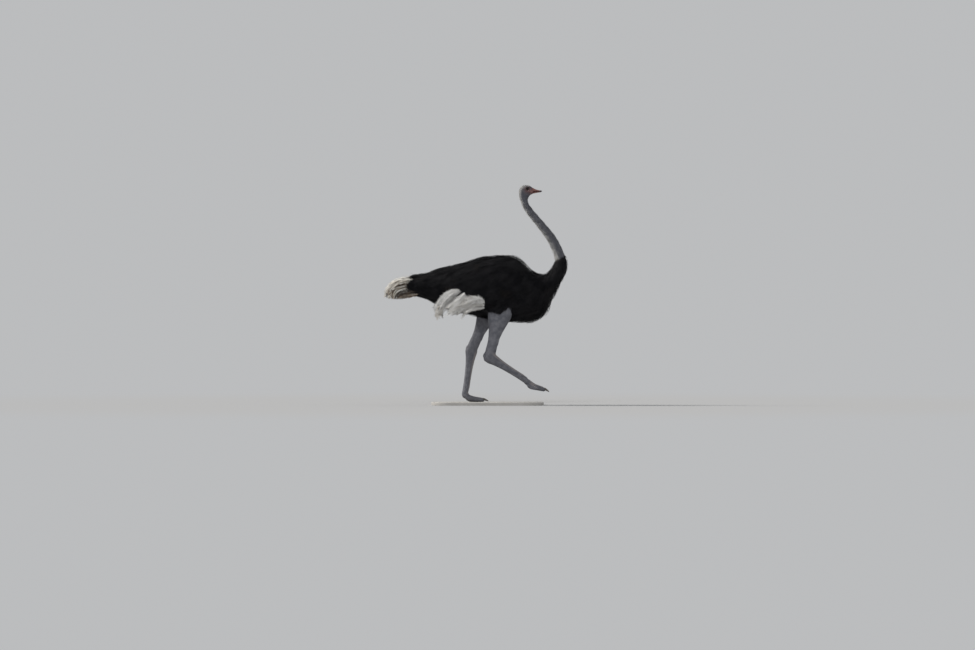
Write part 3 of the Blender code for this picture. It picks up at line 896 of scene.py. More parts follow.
def plumes(path, ups, width, barbs, blade, joints=3, lean=(62, 26), droop=0.45, loose=0.22,
           sweep=0.8, bare=0.05, round_tip=0.8, shaft=0.0016):
    """Soft feathers along the given shafts. width is each feather's half width. Its barbs are thin
    blades to both sides, which bend towards the tip and droop; lean is their angle to the shaft at
    its root and at its tip, in degrees, and round_tip their length at the tip."""
    count = len(path)
    size = (count, 2 * barbs)
    hand = np.tile([-1.0, 1.0], barbs)[None]
    share = np.repeat(np.arange(barbs), 2) + RANDOM.random(size) * 0.9
    share = np.clip(bare + (1 - bare) * share / barbs, 0, 0.998)
    root = along_paths(path, share)
    ahead = unit(along_paths(path, np.clip(share + 0.03, 0, 1))
                 - along_paths(path, np.clip(share - 0.03, 0, 1)))
    up = unit(along_paths(ups, share))
    side = unit(np.cross(ahead, up))
    up = np.cross(side, ahead)
    angle = np.radians(lean[0] + (lean[1] - lean[0]) * share**1.5 + RANDOM.normal(0, LEAN_SPREAD, size))
    out = side * (hand * np.sin(angle))[..., None] + ahead * np.cos(angle)[..., None]
    wild = RANDOM.normal(0, loose, (*size, 3))
    fall = (droop * RANDOM.uniform(0.4, 1.5, size))[..., None]
    bend = ahead * sweep - up * fall - np.array([0.0, 0.0, SAG]) * droop + wild
    turn = (np.arange(joints) / joints)[:, None]
    ways = unit((out + wild * 0.5)[..., None, :] + bend[..., None, :] * turn)
    profile = smoothstep(share, -0.25, 0.35) * (1 + (round_tip - 1) * smoothstep(share, 0.45, 1.0))
    uneven = np.clip(1 + LENGTH_SPREAD * RANDOM.normal(0, 1, size), 0.35, 1.7)
    length = width[:, None] * profile * uneven
    flat = unit(np.cross(up + side * RANDOM.normal(0, 0.3, size)[..., None], out))
    points, faces, reach = strips(root, ways, length, flat, blade)
    each = len(reach) // share.size
    along = np.repeat(share.reshape(-1), each) * 0.75 + reach * 0.25
    tuft = np.repeat(np.arange(count), 2 * barbs * each)
    nodes = path.shape[1]
    across = np.cross(unit(np.gradient(path, axis=1)), ups)
    taper = np.linspace(1.0, 0.2, nodes)[None, :, None] * across * shaft / 2
    ribs = np.stack([path - taper, path + taper], axis=2).reshape(-1, 3)
    first = len(points) + (np.arange(count)[:, None] * nodes + np.arange(nodes - 1)[None]) * 2
    faces.append(first.reshape(-1, 1) + np.array([[0, 1, 3, 2]]))
    along = np.concatenate([along, np.tile(np.repeat(np.linspace(0, 1, nodes), 2), count)])
    tuft = np.concatenate([tuft, np.repeat(np.arange(count), nodes * 2)])
    return np.concatenate([points, ribs]), faces, along, tuft


def bristles(roots, ways, lengths, blade, hairs, loose=0.22, fall=0.25, spread=0.0015):
    """Tufts of tapering hairs, which run the given ways and then fall a little."""
    size = (len(roots), hairs, 3)
    way = unit(ways[:, None] + RANDOM.normal(0, loose, size))
    length = lengths[:, None] * RANDOM.uniform(0.6, 1.0, size[:2])
    flat = unit(np.cross(way, RANDOM.normal(0, 1, size)))
    start = roots[:, None] + RANDOM.normal(0, spread, size)
    ways = np.stack([way, unit(way - np.array([0.0, 0.0, fall]))], axis=2)
    points, faces, along = strips(start, ways, length, flat, blade)
    tuft = np.repeat(np.arange(len(roots)), len(points) // len(roots))
    return points, faces, along, tuft


def tuft_map(points, tuft, roots, ways, ups):
    """Each tuft's patch: its own shape, seen along its root's normal, at its root's place."""
    side = unit(np.cross(ways, ups))
    local = points - roots[tuft]
    flat = np.stack([np.sum(local * side[tuft], axis=1), np.sum(local * ways[tuft], axis=1)], 1)
    size = np.zeros(len(roots))
    np.maximum.at(size, tuft, np.abs(flat).max(axis=1))
    return unwrap(roots)[tuft] + flat / size[tuft][:, None] * PATCH / 2


def coat_pieces(name, kind, parts, roots, ways, ups, values, replaced=(), slot=None):
    """Tufts as pieces of under PIECE_TRIANGLES each, parted between tufts. values are the
    attributes that the finish reads, one number for each point."""
    points, faces, along, tuft = parts
    uv = tuft_map(points, tuft, roots, ways, ups)
    values = {"along": along, **values}
    triangles = sum(len(group) * (group.shape[1] - 2) for group in faces)
    pieces = max(1, math.ceil(triangles / PIECE_TRIANGLES))
    limit = np.linspace(0, tuft.max() + 1, pieces + 1)
    for piece in range(pieces):
        inside = (tuft >= limit[piece]) & (tuft < limit[piece + 1])
        number = np.cumsum(inside) - 1
        kept = [number[group[inside[group[:, 0]]]] for group in faces]
        label = name if pieces == 1 else f"{name}_{piece + 1}"
        mesh = make_mesh(label, points[inside], kept, uv[inside],
                         {key: value[inside] for key, value in values.items()})
        if piece == 0:
            add_piece(label, kind, mesh, replaced)
        else:
            add_piece(label, kind, mesh)


# ---------------------------------------------------------------- finishes
def skin_finish():
    """Bare neck, head and leg skin, and the skin under the plumage, with painted light and shade."""
    f = Finish("skin", roughness=0.62, specular=0.35)
    mottle = f.noise(26, 4)
    blue_grey = f.mottled(mottle, (0.047, 0.049, 0.061), (0.088, 0.089, 0.104), 0.3, 0.72)
    leg_tone = f.mottled(mottle, (0.095, 0.098, 0.114), (0.160, 0.160, 0.178), 0.3, 0.72)
    pink = f.mottled(f.noise(60), (0.150, 0.056, 0.050), (0.225, 0.100, 0.088))
    colour = f.over(blue_grey, "leg", leg_tone)
    # Painted light: the back of the neck paler, where the key lamp from behind falls on it.
    colour = f.over(colour, "back", (0.330, 0.325, 0.315), 0.8)
    colour = f.over(colour, "front", (0.230, 0.205, 0.200), 0.75)
    colour = f.over(colour, "pink", pink)
    colour = f.over(colour, "shade", (0.062, 0.036, 0.036), 0.8)
    creases = f.product(f.cells(230, "F1"), 0.7)
    scales = f.cells(210, "DISTANCE_TO_EDGE")
    scaly = f.product(f.attribute("scaly"), f.math("SUBTRACT", 1.0, f.attribute("front")))
    # Painted shade in the grooves between the small scales of the legs.
    scale_groove_shade = f.product(scaly, f.span(scales, 0.14, 0.0, 0.0, 0.5))
    colour = f.mix(scale_groove_shade, colour, (0.050, 0.048, 0.054))
    # Painted shade in the ear's hole, the gape, the skin between and under the bill's halves, and where
    # the lids tuck in and crease; the lids darker towards their edges.
    colour = f.over(colour, "dark", (0.035, 0.028, 0.030))
    # Near black under the plumage: the black of the coat over it, and painted shade deep in the coat.
    f.colour(f.over(colour, "under", (0.0045, 0.0045, 0.0055)))
    smooth = f.product(f.math("SUBTRACT", 1.0, scaly), creases)
    plates = f.product(scaly, f.span(scales, 0.0, 0.16))
    f.bump(f.math("ADD", smooth, plates), 0.0009, 0.5)
    return f.material


def black_finish():
    """Loose black plumes, a little browner at their tips."""
    f = Finish("black_plume", roughness=0.70, specular=0.12)
    black = f.mottled(f.noise(9), (0.0045, 0.0045, 0.0058), (0.011, 0.0105, 0.012))
    brown = f.mottled(f.noise(5, 2), black, (0.020, 0.015, 0.012), 0.55, 0.75)
    f.colour(f.over(black, "along", brown, 0.5))
    return f.material


def white_finish():
    f = Finish("white_plume", roughness=0.78, sheen=0.3)
    white = f.mottled(f.noise(14), (0.57, 0.56, 0.545), (0.76, 0.755, 0.74))
    # The tint is a real cream stain on the hanging tuft, and painted shade on the other lobes.
    f.colour(f.over(white, "tint", (0.40, 0.34, 0.25)))
    return f.material


def tail_finish():
    """White at the top, tan and brown below, dark at the root."""
    f = Finish("tail_plume", roughness=0.78, sheen=0.3)
    cream = f.mottled(f.noise(14), (0.54, 0.50, 0.43), (0.72, 0.70, 0.64))
    tan = f.mottled(f.noise(20), (0.120, 0.088, 0.062), (0.25, 0.185, 0.13), 0.4, 0.6)
    f.colour(f.over(f.over(cream, "tint", tan), "root", (0.030, 0.024, 0.020)))
    return f.material


def hair_finish():
    """Hairs of the crown, neck and lids, from dark bristle to pale down."""
    f = Finish("head_hair", roughness=0.7, sheen=0.2)
    down = f.mottled(f.noise(30), (0.44, 0.43, 0.415), (0.68, 0.67, 0.65))
    f.colour(f.mix(f.attribute("pale"), (0.028, 0.022, 0.020), down))
    return f.material


def eye_finish():
    """A wide black pupil in a dark brown iris, glossy."""
    f = Finish("eye", roughness=0.05, specular=0.22)
    off = f.attribute("off_axis")
    rays = f.noise(420, distortion=0.6)
    iris = f.mottled(rays, (0.016, 0.007, 0.003), (0.055, 0.023, 0.009), 0.3, 0.7)
    colour = f.mottled(off, (0.001, 0.001, 0.001), iris, 0.42, 0.46)
    f.colour(f.mottled(off, colour, (0.012, 0.008, 0.007), 0.62, 0.74))
    return f.material


def bill_finish():
    f = Finish("bill_horn", roughness=0.52, specular=0.30)
    streaks = f.noise(90, 4, stretch=(0.25, 1.0, 1.0))
    colour = f.mottled(streaks, (0.135, 0.052, 0.045), (0.215, 0.102, 0.086))
    colour = f.over(colour, "tip", (0.120, 0.116, 0.128), 0.85)
    colour = f.over(colour, "edge", (0.11, 0.05, 0.045), 0.5)
    # Painted shade in the nostrils.
    f.colour(f.over(colour, "dark", (0.012, 0.008, 0.008)))
    f.bump(streaks, 0.0004, 0.5)
    return f.material


def claw_finish():
    f = Finish("claw_horn", roughness=0.45)
    streaks = f.noise(150, 4, stretch=(0.2, 1.0, 1.0))
    horn = f.mottled(streaks, (0.040, 0.034, 0.030), (0.095, 0.082, 0.070))
    f.colour(f.over(horn, "tip", (0.16, 0.14, 0.12), 0.6))
    f.bump(streaks, 0.0004, 0.6)
    return f.material


def stand_finish():
    """Pale painted board, with the roller's fine grain and a little dust."""
    f = Finish("stand_board", roughness=0.55)
    grain = f.noise(260, 4)
    paint = f.mottled(f.noise(5), (0.40, 0.385, 0.36), (0.46, 0.445, 0.42), 0.35, 0.7)
    f.colour(f.mix(f.span(grain, 0.62, 0.75, 0.0, 0.35), paint, (0.31, 0.295, 0.275)))
    f.bump(grain, 0.0003, 0.6)
    return f.material


def floor_finish(level):
    """Pale and matt, and as bright under the lamps as the background that it fades into."""
    f = Finish("floor", roughness=1.0, specular=0.0)
    f.colour([channel / (channel + level) for channel in BACKGROUND])
    x, y, _ = f.node("ShaderNodeSeparateXYZ", {0: f.place()}).outputs
    radius = f.math("SQRT", f.math("ADD", f.product(x, x), f.product(y, y)))
    glow = f.node("ShaderNodeEmission", {"Color": BACKGROUND}).outputs[0]
    inputs = {0: f.span(radius, *FLOOR_FADE), 1: f.shader.outputs[0], 2: glow}
    blend = f.node("ShaderNodeMixShader", inputs).outputs[0]
    f.feed(f.tree.nodes["Material Output"].inputs["Surface"], blend)
    return f.material


MAKERS = {"skin": skin_finish, "black": black_finish, "white": white_finish, "tail": tail_finish,
          "hair": hair_finish, "eye": eye_finish, "bill": bill_finish, "claw": claw_finish,
          "stand": stand_finish}
made_finishes = {}


def material_of(kind):
    """The finish of that kind, made the first time that it is asked for."""
    if kind not in made_finishes:
        made_finishes[kind] = MAKERS[kind]()
    return made_finishes[kind]


# ---------------------------------------------------------------- pieces
SKIN_KEPT = 0.42  # share of the skin's triangles left where it is thinned
HORN_START = 0.006  # how far ahead of the skin's edge the horn starts to dive
HORN_DEPTH = 0.0016  # how deep its rear end lies under the skin
HORN_LIFT = 0.0085  # how much higher it may stand where it starts to dive
CLAW_RIDGE = 0.00025  # height of the ridges along a claw


def make_skin(horns):
    """One skin for all the flesh. Returns the surfaces under the plumage, of the neck and of the
    legs, and the lids' rings."""
    body = body_skin()
    neck_points, neck_quads, marks = neck_skin(horns)
    tree = tree_of(neck_points, neck_quads)
    lids = {side: lid_rings(side, tree) for side in SIDES}
    for side in SIDES:
        neck_points = cut_for_eye(neck_points, side)
    legs = {side: leg_skin(side) for side in SIDES}
    groups = [(*body, {"under": 1.0}), (neck_points, neck_quads, marks), *legs.values()]
    for side in SIDES:
        points, quads = rings_surface(lids[side])
        pink, shade = face_marks(points)
        dark = np.repeat([dark for _, _, dark in LID_RINGS], LID_ANGLES) * 0.75
        groups.append((points, outward(quads, side), {"pink": pink, "shade": shade, "dark": dark}))
    points, quads = joined([group[:2] for group in groups])
    values = {key: np.concatenate([np.broadcast_to(marks.get(key, 0.0), len(places))
                                   for places, _, marks in groups])
              for key in ("under", "leg", "scaly", "front", "back", "pink", "shade", "dark")}
    flesh = ["trunk", "neck_lower", "neck_upper", "head", "wing_left", "wing_right"]
    flesh += [part + side for side in SIDES for part in LEG_PARTS]
    mesh = make_mesh("skin", points, [quads], attributes=values)
    mesh = modified("skin", mesh, "DECIMATE", ratio=SKIN_KEPT)
    mesh.shade_smooth()
    add_piece("skin", "skin", mesh, flesh)
    return body, (neck_points, neck_quads), {side: legs[side][:2] for side in SIDES}, lids


def add_surface(name, kind, points, quads, marks, replaced):
    """A closed piece of its own, in place of one node."""
    mesh = make_mesh(name, points, [quads], attributes=marks)
    add_piece(name, kind, mesh, [replaced])


def make_eyes():
    for side in SIDES:
        rings, off = ball_rings(EYE_BALL, *eye_frame(side), bulge=CORNEA)
        points, quads = rings_surface(rings + eye_middle[side])
        add_surface("eyeball_" + side, "eye", points, outward(quads, side), {"off_axis": off},
                    "eye_" + side)


def make_bill(horns, neck):
    """The horn of the bill. Its rear end dives under the skin of the face."""
    tree = tree_of(*neck)
    for name, (points, quads, marks) in horns.items():
        ahead = past_bill_edge(points)
        rear = np.nonzero(ahead < HORN_START)[0]
        foot, out = nearest(tree, points[rear])
        above = np.sum((points[rear] - foot) * out, axis=1)
        most = -HORN_DEPTH + HORN_LIFT * smoothstep(ahead[rear], -0.003, HORN_START)
        points[rear] -= out * np.maximum(above - most, 0.0)[:, None]
        add_surface(name + "_horn", "bill", points, quads, marks, name)


def make_claws():
    """Blunt claws with faint ridges along them."""
    for side in SIDES:
        name = "claw_" + side
        points, quads = united([node_surface(name)], CLAW_VOXEL, JOIN / 2)
        points = softened(points, quads, 14)
        share, _, angle, _ = across_bone(points, name)
        ridge = CLAW_RIDGE * np.sin(angle * 14) * smoothstep(share, 0.0, 0.2) * (share < 0.9)
        points = raised(points, quads, ridge - JOIN / 2)
        add_surface(name + "_horn", "claw", points, quads, {"tip": share}, name)


STAND_CORNER = 0.16  # radius of the board's corners, seen from above
CORNER_STEPS = 15
STAND_PROFILE = [  # how far inside its outline the board's edge runs, and at what height
    (0.05, 0.0), (0.0026, 0.0),
    (0.0016, 0.0), (0.0004, 0.0005), (0.0, 0.0016), (0.0, BASE_TOP - 0.0040),
    (0.0003, BASE_TOP - 0.0025), (0.0012, BASE_TOP - 0.0012), (0.0025, BASE_TOP - 0.0003),
    (0.0040, BASE_TOP), (0.0055, BASE_TOP), (0.05, BASE_TOP),
]


def make_stand():
    """The board under the bird, with rounded corners and eased edges."""
    low, high = (np.array(corner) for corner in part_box("stand_base"))
    half = (high - low)[:2] / 2
    turn = np.concatenate([np.linspace(0, 1, CORNER_STEPS) + quarter for quarter in range(4)])
    turn *= math.pi / 2
    way = np.stack([np.cos(turn), np.sin(turn)], axis=1)
    middle = np.repeat([(1, 1), (-1, 1), (-1, -1), (1, -1)], CORNER_STEPS, axis=0)
    middle = middle * (half - STAND_CORNER)
    rings = [np.column_stack([middle + way * (STAND_CORNER - inset), np.full(len(turn), height)])
             for inset, height in STAND_PROFILE]
    points, quads = rings_surface(np.array(rings))
    last = len(points) - len(turn)
    caps = np.stack([np.arange(len(turn))[::-1], np.arange(len(turn)) + last])
    mesh = make_mesh("stand_board", points, [quads[:, ::-1], caps])
    add_piece("stand_board", "stand", mesh, ["stand_base"])


# ---------------------------------------------------------------- black plumage
# How steeply, in degrees, feathers lie at places along the body, and on the neck.
BODY_DROP = ((-0.8, -0.3, 0.1, 0.35, 0.5, 0.62, 0.75), (6, 18, 30, 42, 56, 70, 76))
NECK_DROP = 80


def wavering(points):
    """A gentle turning to and fro, alike for near points, that parts the plumage into locks."""
    x, y, z = points.T
    slow = np.stack([np.sin(z * 13 + 2 * np.sin(x * 7)), np.sin(x * 16 + 2 * np.sin(z * 9)),
                     np.sin(x * 11 + 3 * np.sin(y * 8 + z * 10))], axis=1)
    quick = np.stack([np.sin(z * 47 + 2 * y * 9), np.sin(x * 41 + 3 * np.sin(z * 23)),
                      np.sin(x * 53 + 2 * np.sin(z * 31))], axis=1)
    return 0.13 * slow + 0.12 * quick


def body_lies(points):
    """The way feathers lie on the body: back along it, out over the flanks and downwards, more so
    towards the breast."""
    x, y, z = points[:, 0], points[:, 1], points[:, 2] - BASE_TOP
    drop = np.interp(x, *BODY_DROP) * smoothstep(z, 0.74, 1.02)
    ridge = bell(y, 0.0, 0.11) * smoothstep(z, 1.05, 1.18)
    drop = drop * (1 - 0.9 * ridge * smoothstep(x, 0.62, 0.52))
    upright = smoothstep(z, 1.18, 1.32) * smoothstep(x, 0.55, 0.62)
    drop = np.radians(drop + (NECK_DROP - drop) * upright)
    outward = np.tanh(y / 0.05) * (1 - upright)
    lies = np.stack([-np.cos(drop), 0.8 * np.sin(drop) * outward, -np.sin(drop)], axis=1)
    return lies + wavering(points) * (1 - 0.7 * upright)[:, None]


# Where the bare thigh starts: shares of the way across it, and heights from its solid's top.
LEG_LINE = ((0.0, 0.38, 0.60, 0.79, 0.91, 1.0), (-0.058, -0.066, -0.084, -0.076, -0.016, 0.0))


def above_leg_line(points, side):
    """How high points are over the line where the leg comes bare out of the plumage."""
    low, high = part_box("drumstick_" + side)
    ahead = (points[..., 0] - low.x) / (high.x - low.x)
    return points[..., 2] - high.z - np.interp(ahead, *LEG_LINE)


def below_leg_line(points, side):
    """Which points are below that line, on the leg's own side and above its hock."""
    on_side = points[..., 1] * SIDES[side] > 0
    above_hock = points[..., 2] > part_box("drumstick_" + side)[0].z
    return (above_leg_line(points, side) < 0) & on_side & above_hock


def bare_leg_share(path, leg_trees):
    """How much of each shaft lies above the line where the leg comes bare out of the plumage."""
    nodes = path.shape[1]
    share = np.ones(len(path))
    for side, tree in leg_trees.items():
        below = below_leg_line(path, side)
        for i in np.nonzero(below.any(axis=1))[0]:
            for k in np.nonzero(below[i])[0]:
                if tree.find_nearest(path[i, k].tolist())[3] < LEG_REACH:
                    share[i] = min(share[i], k / (nodes - 1))
                    break
    return share


COVER_VOXEL = 0.008
BLACK_SPACING = 0.0225
SPACING_STRETCH = 1.0
NECK_SPACING = 0.0105
PLUME_LENGTH = 0.155
NECK_PLUME_LENGTH = 0.055
SHORTEST_PLUME = 0.035
SIZE_SPREAD = 0.14  # how much plumes differ in size, as a share of it
PLUME_HALF_WIDTH = 0.040
NECK_HALF_WIDTH = 0.016
NECK_LIFT = 0.017  # how far plumes of the neck rise past its solid
RUMP_END = tail_front - 0.03  # how far back black plumes reach over the tail
LEG_REACH = 0.030  # a shaft that comes this near to a bare leg ends there
LEAST_SHARE = 0.12  # a plume that would keep less of its shaft is left out
LEG_CLEAR = 0.012  # no plume is rooted this near to one
LEG_FOOT = 0.62  # height over the board from which a leg can meet the plumage
BELLY = 0.70  # height over the board under which no plume is rooted


def black_coat(name, cover, leg_trees, spacing, keep, barbs, **settings):
    """Black plumes rooted where keep(points, normals) has them, shorter towards the neck."""
    roots, _ = scatter(cover, spacing * SPACING_STRETCH, keep)
    on_neck = feathered_neck(roots)
    size = 1 + RANDOM.normal(0, SIZE_SPREAD, len(roots))
    lengths = size * (PLUME_LENGTH + (NECK_PLUME_LENGTH - PLUME_LENGTH) * on_neck)
    longest = roots[:, 0] - RUMP_END + RANDOM.uniform(0, 0.02, len(roots))
    lengths = np.clip(lengths, SHORTEST_PLUME, longest)
    depth = BODY_COAT + (NECK_COAT + NECK_LIFT - BODY_COAT) * on_neck
    depth *= 0.55 + 0.45 * smoothstep(roots[:, 0], RUMP_END, RUMP_END + 0.12)
    heights = depth * RANDOM.uniform(0.35, 1.0, len(roots))
    path, ups = combed(tree_of(*cover), roots, body_lies, lengths, heights)
    share = bare_leg_share(path, leg_trees)
    kept = share > LEAST_SHARE
    path, ups, share, on_neck = path[kept], ups[kept], share[kept], on_neck[kept]
    spots = share[:, None] * np.linspace(0, 1, path.shape[1])
    path, ups = along_paths(path, spots), unit(along_paths(ups, spots))
    half = size[kept] * (PLUME_HALF_WIDTH + (NECK_HALF_WIDTH - PLUME_HALF_WIDTH) * on_neck)
    half *= 0.55 + 0.45 * np.clip(lengths[kept] * share / PLUME_LENGTH, 0, 1)
    parts = plumes(path, ups, half, barbs, blade=0.0017, joints=2, droop=0.28, loose=0.20,
                   lean=(50, 20))
    ways = unit(path[:, -1] - path[:, 0])
    coat_pieces(name, "black", parts, path[:, 0], ways, ups[:, 0], {}, **settings)


def make_black_coat(body, legs):
    """The black plumes of body and feathered neck, which leave the legs bare."""
    leg_trees = {}
    for side, (points, quads) in legs.items():
        high = points[quads[:, 0], 2] > BASE_TOP + LEG_FOOT
        leg_trees[side] = tree_of(points, quads[high])
    surfaces = [(points, halves(quads)) for points, quads in (body, *legs.values())]
    cover = united(surfaces, COVER_VOXEL, 0.0)

    def body_keep(spots, _):
        bare = np.zeros(len(spots), bool)
        for side, leg_tree in leg_trees.items():
            rows = np.nonzero(below_leg_line(spots, side))[0]
            foot, _ = nearest(leg_tree, spots[rows])
            bare[rows] |= np.linalg.norm(spots[rows] - foot, axis=1) < LEG_CLEAR
        feathered = (spots[:, 0] > tail_front - 0.012) & (spots[:, 2] > BASE_TOP + BELLY)
        return feathered & ~bare & (feathered_neck(spots) < 0.6)

    def neck_keep(spots, _):
        return (feathered_neck(spots) > 0.3) & (above_collar(spots) < 0.032)

    black_coat("body_plumes", cover, leg_trees, BLACK_SPACING, body_keep, 60, slot="black_plume")
    black_coat("neck_plumes", cover, leg_trees, NECK_SPACING, neck_keep, 30)


# ---------------------------------------------------------------- wings and tail
ARC_NODES = 9
# How far wing plumes stray ahead, outwards and up, against each other and at their tips.
STRAY = (1.0, 0.5, 1.0)
TIP_STRAY = (1.0, 0.6, 1.0)
FARTHEST_STRAY = 1.7


def arcs(starts, bends, ends):
    """Paths from starts to ends, pulled towards bends on the way."""
    t = np.linspace(0, 1, ARC_NODES)[None, :, None]
    pull = 2 * t * (1 - t) * bends[:, None]
    return (1 - t) ** 2 * starts[:, None] + pull + t**2 * ends[:, None]


# Each lobe of a wing's white plumes, as shares of its solid's box: start, bend and end as
# (ahead, outward, height), then its plumes' count, scatter, half width and tint. The tint is a
# real cream stain on the hanging tuft, the third lobe; on the others it is painted shade.
WING_LOBES = [
    ((0.64, 0.40, 0.90), (0.30, 0.45, 0.88), (0.12, 0.30, 0.42), 30, 0.022, 0.027, 0.06),
    ((0.56, 0.60, 1.05), (0.20, 0.70, 1.00), (0.04, 0.42, 0.42), 46, 0.020, 0.028, 0.00),
    ((0.18, 0.46, 0.50), (0.04, 0.50, 0.38), (0.09, 0.36, 0.12), 28, 0.015, 0.022, 0.45),
    ((0.62, 0.66, 0.94), (0.50, 0.88, 0.60), (0.26, 0.66, 0.32), 46, 0.026, 0.025, 0.14),
    ((0.78, 0.72, 0.60), (0.60, 0.88, 0.44), (0.40, 0.70, 0.30), 40, 0.024, 0.025, 0.20),
    ((1.01, 0.78, 0.58), (0.90, 1.00, 0.84), (0.56, 0.88, 0.50), 44, 0.021, 0.026, 0.14),
    ((1.01, 0.74, 0.46), (0.86, 0.94, 0.50), (0.60, 0.90, 0.32), 36, 0.019, 0.024, 0.18),
]
WING_BARBS = 44


def make_wing_plumes(side):
    """The white plumes of one wing, lobe by lobe."""
    sign = SIDES[side]
    low, high = (np.array(corner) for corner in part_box("plumes_" + side))
    inner, outer = sorted((abs(low[1]), abs(high[1])))

    def spot(shares):
        ahead, outward, height = shares
        return np.array([low[0] + ahead * (high[0] - low[0]),
                         sign * (inner + outward * (outer - inner)),
                         low[2] + height * (high[2] - low[2])])

    paths, half_widths, tints = [], [], []
    for start, bend, end, count, loose, half, tint in WING_LOBES:
        off = np.clip(RANDOM.normal(0, 1, (count, 3)), -FARTHEST_STRAY, FARTHEST_STRAY)
        off = off * loose * STRAY
        tip_off = off + RANDOM.normal(0, 0.8, (count, 3)) * loose * TIP_STRAY
        path = arcs(spot(start) + off * 0.5, spot(bend) + off, spot(end) + tip_off)
        first = RANDOM.uniform(0, 0.45, (count, 1)) * (np.arange(count) > count // 3)[:, None]
        last = np.minimum(first + RANDOM.uniform(0.50, 0.70, (count, 1)), 1.0)
        paths.append(along_paths(path, first + (last - first) * np.linspace(0, 1, ARC_NODES)))
        half_widths.append(half * RANDOM.uniform(0.8, 1.15, count))
        tints.append(np.clip(tint + RANDOM.normal(0, 0.10, count), 0, 1))
    path = np.concatenate(paths)
    out = np.array([-0.25, sign * 1.0, 0.45]) + RANDOM.normal(0, 0.50, (len(path), 1, 3))
    ups = np.broadcast_to(unit(out), path.shape).copy()
    parts = plumes(path, ups, np.concatenate(half_widths), WING_BARBS, blade=0.0019, droop=0.38,
                   loose=0.30, lean=(62, 26), sweep=0.6, round_tip=1.0, shaft=0.0022)
    tint = np.concatenate(tints)[parts[3]] * (0.3 + 0.7 * parts[2])
    ways = unit(path[:, ARC_NODES // 2] - path[:, 0])
    coat_pieces("wing_plumes_" + side, "white", parts, path[:, 0], ways, ups[:, 0],
                {"tint": tint}, replaced=["plumes_" + side], slot="white_plume")


TAIL_PLUMES = 230
TAIL_BARBS = 56


def make_tail():
    """Plumes that arch up and over to their tips: white on top, white and brown in turn below."""
    low, high = (np.array(corner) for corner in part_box("tail"))
    size = high - low
    across = RANDOM.uniform(-1, 1, TAIL_PLUMES)
    layer = np.sort(RANDOM.random(TAIL_PLUMES))[::-1]  # 1 at the top, 0 at the bottom
    top = layer * (1 - 0.20 * across**2)
    chance = RANDOM.random((3, TAIL_PLUMES))
    reach = (0.34 + 0.70 * layer**0.5) * (0.72 + 0.28 * chance[0])
    starts = np.stack([np.full(TAIL_PLUMES, high[0] + 0.07), across * size[1] * 0.24,
                       low[2] + size[2] * (0.16 + 0.70 * top)], axis=1)
    ends = np.stack([high[0] - size[0] * reach, across * size[1] * 0.42,
                     low[2] + size[2] * (0.04 + 0.34 * layer * chance[1])], axis=1)
    bends = np.stack([high[0] - size[0] * reach * 0.86, across * size[1] * 0.40,
                      low[2] + size[2] * (0.06 + 1.04 * top)], axis=1)
    path = arcs(starts, bends, ends)
    centre = low + size * (0.6, 0.5, 0.3)
    ups = unit((path - centre) * (0.5, 1.0, 1.0) + RANDOM.normal(0, 0.03, path.shape))
    half = RANDOM.uniform(0.013, 0.026, TAIL_PLUMES)
    parts = plumes(path, ups, half, TAIL_BARBS, blade=0.0020, droop=0.32, loose=0.22,
                   lean=(56, 24), sweep=0.7, round_tip=0.8, shaft=0.0022)
    along, tuft = parts[2:]
    white = np.maximum(smoothstep(layer, 0.84, 0.93), chance[2] < 0.24)
    tint = (1 - white)[tuft] * (1 - 0.30 * smoothstep(along, 0.85, 1.0))
    brown = np.where(chance[2] > 0.62, 0.9, 0.2) * (1 - white)
    root = brown[tuft] * smoothstep(np.abs(along - 0.55), 0.62, 0.20)
    ways = unit(path[:, ARC_NODES // 2] - path[:, 0])
    coat_pieces("tail_plumes", "tail", parts, path[:, 0], ways, ups[:, 0],
                {"tint": tint, "root": root}, replaced=["tail"], slot="tail_plume")


# ---------------------------------------------------------------- hairs of head and neck
HAIR_SINK = 0.0008  # how deep in the skin hairs are rooted
TONE_SPREAD = 0.12  # how much hairs differ in paleness
# Which way hairs lie at heights up the neck and head: how far ahead, and how far up.
NECK_AHEAD = ((1.38, 1.48, 1.62, 1.86, 1.98, 2.06, 2.14),
              (-0.15, 0.25, 0.70, 0.60, 0.20, -0.70, -1.0))
NECK_UP = ((1.98, 2.06, 2.14), (-1.0, -0.7, -0.25))


def neck_lies(points):
    """The way hairs lie: back over the crown and down the neck."""
    ahead = np.interp(points[:, 2], *NECK_AHEAD)
    up = np.interp(points[:, 2], *NECK_UP)
    return unit(np.stack([ahead, np.zeros(len(points)), up], axis=1))


def hair_coat(name, neck, spacing, keep, length, stand, pale, blade, hairs, kind="hair", slot=None):
    """One kind of hair over the neck and head, which stands up from it by the share stand. keep is
    given points and normals, as length and pale are where they aren't plain numbers."""
    roots, normals = scatter(neck, spacing, keep)
    lies = laid(neck_lies(roots), normals)
    lengths, tones = (rule(roots, normals) if callable(rule) else np.full(len(roots), rule)
                      for rule in (length, pale))
    start = roots - normals * HAIR_SINK
    parts = bristles(start, unit(lies + normals * stand), lengths, blade, hairs)
    tone = np.clip(tones + RANDOM.normal(0, TONE_SPREAD, len(roots)), 0, 1)
    coat_pieces(name, kind, parts, roots, lies, normals, {"pale": tone[parts[3]]}, slot=slot)


def near_eye(points, reach):
    """1 within reach of an eye's middle, seen from the side, fading to 0."""
    away = np.hypot(points[:, 0] - eye_x, points[:, 2] - eye_z)
    return smoothstep(away, reach * 1.15, reach)


